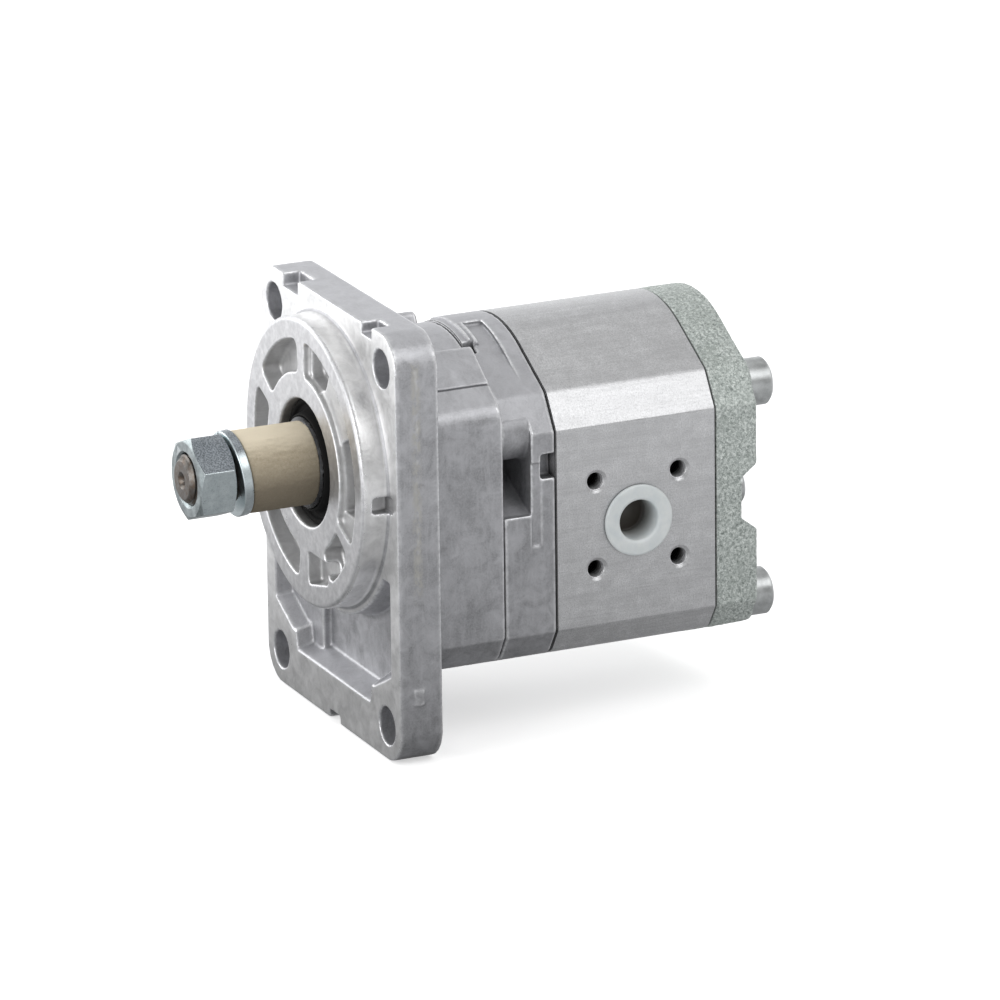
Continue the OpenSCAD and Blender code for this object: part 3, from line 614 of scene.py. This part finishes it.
def cardboard(name):
    """Plain grey-brown card with short fibres and specks."""
    m = Nodes(name)
    fibre = m.noise(0.75, 5.0, 0.75, vector=m.stretched(1.0, 0.7, 1.0), distort=1.2)
    cross = m.noise(0.35, 4.0, 0.7, vector=m.stretched(0.5, 1.2, 0.5), distort=1.0)
    clouds = m.noise(4.0, 3.0, 0.6)
    specks = m.cells(0.8)
    color = m.mix(m.range(fibre, 0.3, 0.72), (0.52, 0.435, 0.305), (0.77, 0.68, 0.515))
    color = m.mix(m.range(clouds, 0.38, 0.7, 0.0, 0.45), color, (0.64, 0.555, 0.41))
    color = m.mix(m.range(cross, 0.5, 0.75, 0.0, 0.5), color, (0.86, 0.78, 0.63))
    color = m.mix(m.range(specks, 0.0, 0.16, 0.45, 0.0), color, (0.25, 0.19, 0.12))
    # painted light and shade: the card is paler on top and darker towards its underside
    color = m.mix(m.range(m.facing(2), 0.55, 0.9, 0.0, 0.85), color, (0.95, 0.85, 0.665))
    lower = m.range(m.facing(2), 0.9, -0.25)
    color = m.mix(m.math("MULTIPLY", lower, 0.8), color, (0.155, 0.13, 0.098))
    m.set("Base Color", color)
    m.set("Metallic", 0.0)
    m.set("Roughness", 0.94)
    m.set("Specular IOR Level", 0.15)
    m.set("Normal", m.bump(m.math("ADD", fibre, m.math("MULTIPLY", cross, 0.7)), 0.16, 1.0))
    return m.mat


def rubber(name, tone=0.009, dusty=0.4):
    """Black rubber with a dull bloom and dust in its grain."""
    m = Nodes(name)
    clouds = m.noise(2.5, 4.0, 0.65)
    fine = m.noise(0.35, 3.0, 0.7)
    color = m.mix(m.range(clouds, 0.4, 0.75, 0.0, dusty), (tone, tone, tone * 1.02), (0.022, 0.021, 0.02))
    color = m.mix(m.range(fine, 0.6, 0.8, 0.0, dusty), color, (0.05, 0.045, 0.042))
    m.set("Base Color", color)
    m.set("Roughness", m.range(clouds, 0.3, 0.7, 0.75, 0.9))
    m.set("Specular IOR Level", 0.12)
    m.set("Normal", m.bump(fine, 0.03, 0.7))
    return m.mat


def milky_plastic(name):
    """Translucent natural plastic; inside the plug's cup, painted shade stands in for the open port showing
    through.
    """
    m = Nodes(name)
    clouds = m.noise(4.0, 3.0, 0.55)
    fine = m.noise(0.4, 2.0, 0.6)
    x = m.math("ABSOLUTE", m.axis(0))
    dy, dz = m.math("SUBTRACT", m.axis(1), PORT_Y), m.math("SUBTRACT", m.axis(2), PORT_Z)
    # painted shade: only the cup's inner wall darkens, and its floor down to half of the floor's thickness
    inner_wall = m.range(m.length(dy, dz), 6.0, 5.8)
    inside = m.both(inner_wall, m.range(x, PORT_FACE_X - 8.6, PORT_FACE_X - 8.2))
    deep = m.both(m.range(x, PORT_FACE_X - 6.6, PORT_FACE_X - 7.6), inside)
    shade = m.both(m.range(x, PORT_FACE_X - 0.5, PORT_FACE_X - 6.8), inside)
    color = m.mix(m.range(clouds, 0.35, 0.7), (0.67, 0.715, 0.725), (0.77, 0.80, 0.80))
    color = m.mix(m.math("MULTIPLY", shade, 0.75), color, (0.20, 0.19, 0.175))
    color = m.mix(deep, color, (0.035, 0.028, 0.02))
    m.set("Base Color", color)
    m.set("Roughness", m.range(fine, 0.3, 0.7, 0.34, 0.46))
    m.set("Subsurface Weight", m.range(deep, 0.0, 1.0, 0.35, 0.0))
    m.set("Subsurface Radius", (2.0 * MM, 2.0 * MM, 2.2 * MM))
    m.set("Subsurface Scale", 1.0)
    m.set("Normal", m.bump(m.math("ADD", clouds, m.math("MULTIPLY", fine, 0.3)), 0.03, 0.6))
    return m.mat


def soft_alloy(name, color_a, color_b, rough, metallic=1.0):
    """Satin inner parts of a colour between the two: bearing alloy, bronze, brass, and plain plastic."""
    m = Nodes(name)
    clouds = m.noise(2.0, 4.0, 0.6)
    fine = m.noise(0.3, 2.0, 0.7)
    color = m.mix(m.range(clouds, 0.3, 0.72), color_a, color_b)
    color = m.mix(m.range(fine, 0.5, 0.75, 0.0, 0.4), color, scaled(color_a, 0.7))
    m.set("Base Color", color)
    m.set("Metallic", metallic)
    m.set("Roughness", m.range(fine, 0.3, 0.7, rough - 0.06, rough + 0.08))
    m.set("Normal", m.bump(fine, 0.015, 0.7))
    return m.mat


# places that the materials and the shapes share, from the CAD's boxes or known from the CAD's design
BODY_LO, BODY_HI = box_mm("pump_body")
HOUSING_LO, HOUSING_HI = box_mm("front_housing")
PLUG_LO, PLUG_HI = box_mm("right_port_plug")
PORT_FACE_X = BODY_HI[0]
PORT_Y, PORT_Z = (PLUG_LO[1] + PLUG_HI[1]) / 2, (PLUG_LO[2] + PLUG_HI[2]) / 2
COVER_Y, BODY_Y, REAR_Y = HOUSING_HI[1], BODY_LO[1], BODY_HI[1]
FLANGE_FACE, PILOT_FACE = 0.0, HOUSING_LO[1]
FLANGE_SIDE = HOUSING_HI[0]
PILOT_R = MOUNT["pilot"]["r_mm"]
FLASH_Y = 5.7
FLASH_FULL, FLASH_END = -24.0, -30.0  # the flash line fades out between these heights
SHOULDER_X = 30.5
TURNED_TONE = 0.80
SLEEVE_LO, SLEEVE_HI = box_mm("taper_sleeve")

HOUSING = cast_metal(
    "housing_casting", 0.44, spread=0.27, rough=0.45, joints=(COVER_Y,), crevice_shade=0.5, reach=4.0, flange=True
)
COVER = cast_metal(
    "cover_casting", 0.42, spread=0.26, rough=0.5, joints=(COVER_Y, BODY_Y), crevice_shade=0.85, reach=8.0
)
BODY = machined_metal("body_machined", 0.655, rough=0.38, joints=(BODY_Y, REAR_Y), spread=0.17)
SAND = sand_cast("rear_cover_sand_cast", joints=(REAR_Y,))
# a paler copy of the body's metal: painted highlight on the threads, with painted shade deep in their bores
THREADED = machined_metal("port_threads", 0.92, rough=0.3, crevice_shade=0.05, bores=True)
ZINC = zinc_plate("zinc", dull=0.8)
WASHER = zinc_plate("zinc_washer")
SHAFT = steel("shaft_ground", 0.5, rough=0.26, shaded_stretch=(SLEEVE_HI[1] - 0.2, 0))
THREAD = steel("thread_dark", 0.17, rough=0.36, tint=(1.0, 0.94, 0.88), oily=0.75)
SCREW = steel("screw_satin", 0.56, rough=0.36, tint=(0.97, 1.0, 1.0))
CARD = cardboard("sleeve_card")
RUBBER = rubber("seal_rubber")
PLUG = milky_plastic("plug_plastic")
GEAR = steel("gear_ground", 0.5, rough=0.22)
POLISHED = steel("bearing_polished", 0.66, rough=0.1)
SPRING = steel("spring_oiled", 0.2, rough=0.35, oily=0.3)
BRASS = soft_alloy("cage_brass", (0.60, 0.42, 0.17), (0.74, 0.56, 0.27), 0.3)
BLOCK = soft_alloy("bearing_alloy", (0.52, 0.49, 0.44), (0.66, 0.63, 0.57), 0.34)
BRONZE = soft_alloy("bush_bronze", (0.42, 0.28, 0.13), (0.55, 0.38, 0.19), 0.4)
BACKUP = soft_alloy("backup_plastic", (0.70, 0.66, 0.56), (0.80, 0.77, 0.69), 0.5, metallic=0.0)

SLOT_MATERIAL = {
    "die_cast": HOUSING, "machined_body": BODY, "sand_cast": SAND, "zinc_steel": ZINC,
    "shaft_steel": SHAFT, "screw_steel": SCREW, "bearing_steel": POLISHED, "gear_steel": GEAR,
    "spring_steel": SPRING, "cage_brass": BRASS, "bearing_alloy": BLOCK, "bush_bronze": BRONZE,
    "seal_rubber": RUBBER, "backup_plastic": BACKUP, "plug_plastic": PLUG, "sleeve_card": CARD,
}
for node, obj in NODES.items():
    obj.data.materials.clear()
    obj.data.materials.append(SLOT_MATERIAL[SLOT_OF[node]])

# ---------------------------------------------------------------- castings

VOXEL = 0.38
PAD_Y, PAD_Z = 5.4, -55.0  # middle of the small raised pad on each side of the flange
HEAD_R = 6.6  # cap screw heads


def casting_skin(p, seed):
    """The slight waviness of a die-cast skin, in mm, at points p."""
    return 0.035 * value_noise(p, 3.0, seed) + 0.02 * value_noise(p, 1.1, seed + 1)


def housing_mesh():
    """The bearing housing and flange, with rounded edges and a ragged flash line along the flange's sides."""
    mesh = softened("front_housing", VOXEL, 9)
    p, n = points_mm(mesh), normals_of(mesh)
    side = np.clip((np.abs(p[:, 0]) - FLANGE_SIDE + 0.5) / 0.4, 0, 1)
    side *= np.clip((np.abs(n[:, 0]) - 0.7) / 0.2, 0, 1)
    line = FLASH_Y + 0.3 * value_noise(p * [0, 0, 1], 9.0, 11)
    width = 0.95 + 0.3 * value_noise(p * [0, 0, 1], 3.0, 12)
    ridge = np.exp(-(((p[:, 1] - line) / width) ** 2)) * (0.6 + 0.4 * value_noise(p, 1.2, 13))
    ridge *= np.clip((p[:, 2] - FLASH_END) / (FLASH_FULL - FLASH_END), 0, 1)
    pad = np.clip(2.6 - np.abs(p[:, 2] - PAD_Z), 0, 0.5) * np.clip(1.9 - np.abs(p[:, 1] - PAD_Y), 0, 0.5)
    # the turned mounting face and pilot stay smooth
    turned = (np.abs(p[:, 1]) < 0.5) | (p[:, 1] < -0.5)
    lift = side * (0.2 * ridge + pad) + np.where(turned, 0, casting_skin(p, 14))
    set_points_mm(mesh, p + n * lift[:, None])
    return thinned(mesh, 192000)


def cover_mesh():
    """The front cover, with rounded edges and a cast skin that fades out at its two joint faces."""
    mesh = softened("front_cover", VOXEL * 0.82, 6)
    p, n = points_mm(mesh), normals_of(mesh)
    away = np.clip(np.minimum(p[:, 1] - COVER_Y, BODY_Y - p[:, 1]) / 0.8, 0, 1)
    set_points_mm(mesh, p + n * (casting_skin(p, 24) * away)[:, None])
    return thinned(mesh, 160000)


def rear_cover_mesh():
    """Pebbled sand-cast skin, with a raised seat around each cap screw's head."""
    mesh = softened("rear_cover", VOXEL * 0.85, 3)
    p, n = points_mm(mesh), normals_of(mesh)
    lo, hi = box_mm("rear_cover")
    # the joint face stays smooth
    skin = np.clip((p[:, 1] - lo[1] - 0.6) / 0.8, 0, 1)
    relief = value_noise(p, 0.95, 3) * 0.6 + value_noise(p, 1.7, 4) * 0.35 + value_noise(p, 6.0, 5) * 0.25
    s_lo, s_hi = box_mm("cap_screws")
    seat = np.zeros(len(p))
    for x in (s_lo[0] + HEAD_R, s_hi[0] - HEAD_R):
        for z in (s_lo[2] + HEAD_R, s_hi[2] - HEAD_R):
            r = np.hypot(p[:, 0] - x, p[:, 2] - z)
            ring = np.clip((HEAD_R + 2.6 - r) / 0.7, 0, 1) * np.clip((r - HEAD_R - 0.2) / 0.3, 0, 1)
            seat = np.maximum(seat, ring)
    seat *= np.clip((p[:, 1] - hi[1] + 0.8) / 0.4, 0, 1)
    moved = p + n * (relief * 0.15 * skin)[:, None]
    moved[:, 1] += seat * 0.45
    set_points_mm(mesh, moved)
    return thinned(mesh, 195000)


smooth_shaded(add("front_housing_casting", housing_mesh(), "front_housing", HOUSING))
smooth_shaded(add("front_cover_casting", cover_mesh(), "front_cover", COVER))
smooth_shaded(add("rear_cover_casting", rear_cover_mesh(), "rear_cover", SAND), weighted=False)
body_mesh = bevelled("pump_body", "pump_body_machined", 0.3, 3)
smooth_shaded(add("pump_body_machined", body_mesh, "pump_body", BODY))

# ---------------------------------------------------------------- tapped holes, plugs and seal

PORT_SQUARE = MOUNT["right_port_bolts"]["spacing_x_mm"]
CORE_R = MOUNT["right_port_bolts"]["hole_r_mm"]
THREAD_DEEP, PORT_PITCH, PORT_RIDGE = 11.0, 1.0, 0.24


def port_thread_wave(angle, height, radius):
    """Turns the rings of a tapped hole's wall into a helix, and leaves the back of the liner plain."""
    if radius > CORE_R:
        return 0.0
    return PORT_RIDGE * thread_ridge(height, angle, PORT_PITCH)


def port_threads():
    """M6 threads inside the eight tapped holes of the port faces, as thin liners of the body's own metal."""
    deep, mouth, back = PORT_FACE_X - THREAD_DEEP, PORT_FACE_X - 0.5, CORE_R + 0.12
    count = int(round((mouth - deep) / PORT_PITCH * 8))
    outline = wall_points(CORE_R - 0.28, deep, mouth, count) + [(back, mouth), (back, deep)]
    meshes = []
    for side in (-1, 1):
        for dy in (-0.5, 0.5):
            for dz in (-0.5, 0.5):
                centre = (0, PORT_Y + dy * PORT_SQUARE, PORT_Z + dz * PORT_SQUARE)
                sided = [(r, side * h) for r, h in outline]
                meshes.append(lathe("port_thread", sided, "x", centre, 32, port_thread_wave))
    return joined("port_screw_threads", meshes)


smooth_shaded(add("port_screw_threads", port_threads(), "pump_body", THREADED), weighted=False)


def plug_mesh(side, name):
    """Shipping plug: a thin rim with rounded lips, a slightly tapered cup and a domed floor."""
    # radius, and height above the port face
    outside = [(0.01, -9.0), (6.3, -9.0), (7.15, -8.7), (7.4, -8.0), (7.45, -0.4), (7.45, 0.06)]
    rim = [(9.6, 0.06), (9.9, 0.16), (10.0, 0.45), (9.95, 0.85), (9.7, 1.1), (9.3, 1.15), (8.2, 1.12)]
    mouth = [(6.7, 1.15), (6.1, 1.08), (5.8, 0.85), (5.68, 0.45)]
    inside = [(5.6, -0.5), (5.35, -7.0), (5.15, -7.5), (4.7, -7.7), (0.01, -7.5)]
    outline = [(r, side * (PORT_FACE_X + h)) for r, h in outside + rim + mouth + inside]
    return lathe(name, outline, "x", (0, PORT_Y, PORT_Z), 96)


for side, node in ((1, "right_port_plug"), (-1, "left_port_plug")):
    smooth_shaded(add(node + "_cup", plug_mesh(side, node + "_cup"), node, PLUG))


def seal_mesh():
    """Outer shaft seal: case edge, an annular groove with fine rings, and a dust lip over the shaft."""
    lo, hi = box_mm("outer_shaft_seal")
    r_out, y0, y1 = hi[0], lo[1], hi[1]
    # radius inside the case, and depth behind the seal's front
    case = [(0, y1 - y0), (0, 0.5), (0.5, 0), (1.3, 0.05), (1.6, 0.5)]
    groove = [(1.7, 1.0), (2.2, 1.2), (2.5, 0.8), (2.8, 1.1)]
    # radius, and depth behind the seal's front
    lip = [(14.0, 0.9), (13.7, -0.6), (13.3, -1.9), (12.9, -2.1), (12.6, -1.9), (12.56, y1 - y0)]
    outline = [(r_out - inset, y0 + depth) for inset, depth in case + groove]
    outline += [(r, y0 + depth) for r, depth in lip]
    return lathe("outer_shaft_seal_lips", outline, "y", steps=144)


smooth_shaded(add("outer_shaft_seal_lips", seal_mesh(), "outer_shaft_seal", RUBBER))

# ---------------------------------------------------------------- shaft end

SHAFT_LO = box_mm("drive_shaft")[0]
THREAD_R, THREAD_PITCH, THREAD_DEPTH = 7.0, 1.5, 0.85
CENTRE_DRILL_R = 2.3


def shaft_core():
    """The shaft as in the CAD, with its plain thread made thinner so that it lies inside the cut one."""
    mesh = mesh_from(welded_bmesh("drive_shaft"), "drive_shaft_core")
    p = points_mm(mesh)
    r = np.hypot(p[:, 0], p[:, 2])
    outer = (p[:, 1] < SLEEVE_LO[1] - 0.5) & (r > CENTRE_DRILL_R + 0.9)
    scale = np.where(outer, (THREAD_R - 1.3) / THREAD_R, 1.0)
    p[:, 0] *= scale
    p[:, 2] *= scale
    p[:, 1] += np.where(p[:, 1] < SHAFT_LO[1] + 1.5, 0.25, 0.0)
    set_points_mm(mesh, p)
    return mesh


def shaft_thread():
    """M14 thread with a chamfered end and a centre drill."""
    end, back = SHAFT_LO[1], SLEEVE_LO[1] - 2.0
    start = end + 1.0
    root = THREAD_R - THREAD_DEPTH
    drill = [(0.9, end + 1.9), (CENTRE_DRILL_R, end + 0.05), (CENTRE_DRILL_R + 0.2, end)]
    chamfer = [(root - 1.0, end), (root - 0.75, end + 0.15), (root - 0.02, end + 0.85)]
    wall = wall_points(root, start, back, int((back - start) / THREAD_PITCH * 10))
    behind = [(root - 0.6, back), (root - 0.9, end + 2.6), (0.9, end + 2.6)]

    def wave(angle, height, radius):
        if abs(radius - root) > 0.02:
            return 0.0
        lead_in = min(1.0, max(0.0, (height - end - 0.8) / 0.8))
        profile = min(1.0, max(0.0, 1.25 * thread_ridge(height, angle, THREAD_PITCH) - 0.1))
        return lead_in * (THREAD_DEPTH - 0.01) * profile

    return lathe("shaft_thread", drill + chamfer + wall + behind, "y", steps=96, wave=wave)


smooth_shaded(add("drive_shaft_core", shaft_core(), "drive_shaft", SHAFT))
smooth_shaded(add("drive_shaft_thread", shaft_thread(), "drive_shaft", THREAD))

# each fastener: its node, the piece's name, its material, and the bevel's width, segments and least angle
for node, piece, material, width, segments, angle in (
    ("shaft_nut", "shaft_nut_forged", ZINC, 0.28, 3, 15),
    ("lock_washer", "lock_washer_sprung", WASHER, 0.42, 3, 28),
    ("cap_screws", "cap_screws_rounded", SCREW, 0.45, 4, 28),
    ("cover_screws", "cover_screws_rounded", SCREW, 0.35, 3, 28),
):
    smooth_shaded(add(piece, bevelled(node, piece, width, segments, angle), node, material))


def sleeve_mesh():
    """Card tube with soft, slightly frayed ends."""
    mesh = softened("taper_sleeve", 0.3, 2)
    p, n = points_mm(mesh), normals_of(mesh)
    front, back = SLEEVE_LO[1], SLEEVE_HI[1]
    frayed = np.clip(1.5 - np.minimum(p[:, 1] - front, back - p[:, 1]), 0, 1.5) / 1.5
    outside = np.hypot(p[:, 0], p[:, 2]) > SLEEVE_HI[0] - 0.35
    relief = 0.05 * value_noise(p * [1, 0.5, 1], 0.9, 31) + 0.04 * value_noise(p, 3.0, 32)
    lift = np.where(outside, relief, 0) + frayed * 0.03 * value_noise(p, 0.6, 33)
    moved = p + n * lift[:, None]
    # the end at the washer lies against it, so it leans as the washer does
    reach = np.clip(1 - (p[:, 1] - front) / 4.0, 0, 1)
    moved[:, 1] -= reach * (1.3 + 0.105 * p[:, 2])
    set_points_mm(mesh, moved)
    return thinned(mesh, 90000)


smooth_shaded(add("taper_sleeve_card", sleeve_mesh(), "taper_sleeve", CARD), weighted=False)

# ---------------------------------------------------------------- stage, light and camera

# the camera's turn, rise and roll; then, in metres, its distance and sideways shift from the shaft's origin
AZIMUTH, RISE, ROLL = math.radians(65.589), math.radians(17.631), math.radians(-0.758)
DISTANCE, SHIFT_RIGHT, SHIFT_UP = 2.249772, 0.046151, -0.011129
LENS = 300.04
# how bright the stage glows to reflections: in its painted shadow under the object, far to the right, far to
# the left, and behind
SHADOWED_FLOOR, RIGHT_FLOOR, LEFT_FLOOR, BACK_WALL = 0.18, 0.98, 1.4, 1.0


def stage_material():
    """Pale to the camera; to reflections and bounce light it glows as a lamp, with a painted shadow under the
    object, and brighter to the left and far away.
    """
    m = Nodes("floor_pale")
    s = m.new("ShaderNodeSeparateXYZ")
    m.put(s.inputs[0], m.new("ShaderNodeNewGeometry").outputs["Position"])
    x, y, z = s.outputs
    away = m.length(x, y)
    left = m.range(m.math("ADD", m.math("MULTIPLY", x, -0.9), m.math("MULTIPLY", y, -0.42)), -0.25, 0.35)
    near_floor = m.range(away, 0.04, 0.42, SHADOWED_FLOOR, RIGHT_FLOOR)
    left_floor = m.range(away, 0.05, 0.40, SHADOWED_FLOOR + 0.12, LEFT_FLOOR)
    glow = m.math("ADD", m.both(left, left_floor), m.both(m.math("SUBTRACT", 1.0, left), near_floor))
    wall = m.range(z, 0.1, 0.9)
    glow = m.math("ADD", m.both(m.math("SUBTRACT", 1.0, wall), glow), m.math("MULTIPLY", wall, BACK_WALL))
    # the floor glows as a lamp to all but camera rays, and a painted shadow under the object dims that glow
    light = m.new("ShaderNodeEmission")
    m.put(light.inputs["Strength"], glow)
    m.put(light.inputs["Color"], (0.985, 0.99, 1.0))
    m.set("Base Color", (0.93, 0.93, 0.93))
    m.set("Emission Color", (1, 1, 1))
    m.set("Emission Strength", 0.5)
    m.set("Roughness", 0.95)
    m.set("Specular IOR Level", 0.0)
    seen = m.new("ShaderNodeLightPath").outputs["Is Camera Ray"]
    mixed = m.new("ShaderNodeMixShader")
    m.put(mixed.inputs[0], seen)
    m.tree.links.new(light.outputs[0], mixed.inputs[1])
    m.tree.links.new(m.bsdf.outputs[0], mixed.inputs[2])
    out = next(n for n in m.tree.nodes if n.type == "OUTPUT_MATERIAL")
    m.tree.links.new(mixed.outputs[0], out.inputs["Surface"])
    return m.mat


def make_stage():
    """A floor that bends up into a wall behind the object, as the camera sees it. Its sizes are in metres."""
    floor_z = CAD_LO.z - 0.0002
    half_width, front, depth, height, bend, bend_steps = 6.0, -3.0, 4.0, 3.4, 1.2, 12
    profile = [(front, 0.0), (depth - bend, 0.0)]
    for k in range(1, bend_steps + 1):
        a = math.pi / 2 * k / bend_steps
        profile.append((depth - bend + bend * math.sin(a), bend - bend * math.cos(a)))
    profile.append((depth, height))
    turn = Matrix.Rotation(AZIMUTH, 4, "Z")
    bm = bmesh.new()
    rows = []
    for y, z in profile:
        rows.append([bm.verts.new(turn @ Vector((x, y, floor_z + z))) for x in (-half_width, half_width)])
    for a, b in zip(rows, rows[1:]):
        bm.faces.new((a[0], a[1], b[1], b[0]))
    sweep = bpy.data.objects.new("floor_sweep", mesh_from(bm, "floor_sweep"))
    bpy.context.scene.collection.objects.link(sweep)
    sweep.data.materials.append(stage_material())
    sweep.data.shade_smooth()


make_stage()

LIT_POINT = (0, 0.04, -0.015)  # the middle of the object, in metres


def area_light(name, toward, distance, size, power):
    """A square soft box, in this direction from the object and facing it. Its sizes are in metres."""
    lamp = bpy.data.lights.new(name, "AREA")
    lamp.shape = "RECTANGLE"
    lamp.size = size
    lamp.size_y = size
    lamp.energy = power
    obj = bpy.data.objects.new(name, lamp)
    direction = Vector(toward).normalized()
    obj.location = Vector(LIT_POINT) + direction * distance
    obj.rotation_euler = (-direction).to_track_quat("-Z", "Y").to_euler()
    bpy.context.scene.collection.objects.link(obj)


area_light("key", (0.63, 0.30, 0.70), 1.15, 0.7, 3.3)
area_light("overhead", (-0.25, 0.1, 0.95), 1.5, 1.1, 1.9)
area_light("front_left", (-0.75, -0.6, 0.35), 1.7, 1.1, 9)
area_light("front", (0.25, -0.95, 0.3), 1.7, 1.0, 11)

world = bpy.data.worlds.new("studio")
world.use_nodes = True
background = world.node_tree.nodes["Background"]
background.inputs["Color"].default_value = (1, 1, 1, 1)
background.inputs["Strength"].default_value = 0.45
bpy.context.scene.world = world
bpy.context.scene.view_settings.view_transform = "Standard"
bpy.context.scene.view_settings.look = "None"


def make_camera():
    """A long lens at the photograph's viewing angle."""
    ca, sa, ce, se = math.cos(AZIMUTH), math.sin(AZIMUTH), math.cos(RISE), math.sin(RISE)
    back = Vector((sa * ce, -ca * ce, se))
    right0 = Vector((ca, sa, 0))
    up0 = back.cross(right0)
    right = math.cos(ROLL) * right0 + math.sin(ROLL) * up0
    up = -math.sin(ROLL) * right0 + math.cos(ROLL) * up0
    cam = bpy.data.objects.new("camera", bpy.data.cameras.new("camera"))
    cam.data.sensor_width = 36
    cam.data.lens = LENS
    cam.data.clip_start, cam.data.clip_end = 0.05, 30
    place = Matrix((right, up, back)).transposed().to_4x4()
    place.translation = back * DISTANCE + right * SHIFT_RIGHT + up * SHIFT_UP
    cam.matrix_world = place
    bpy.context.scene.collection.objects.link(cam)
    bpy.context.scene.camera = cam


make_camera()
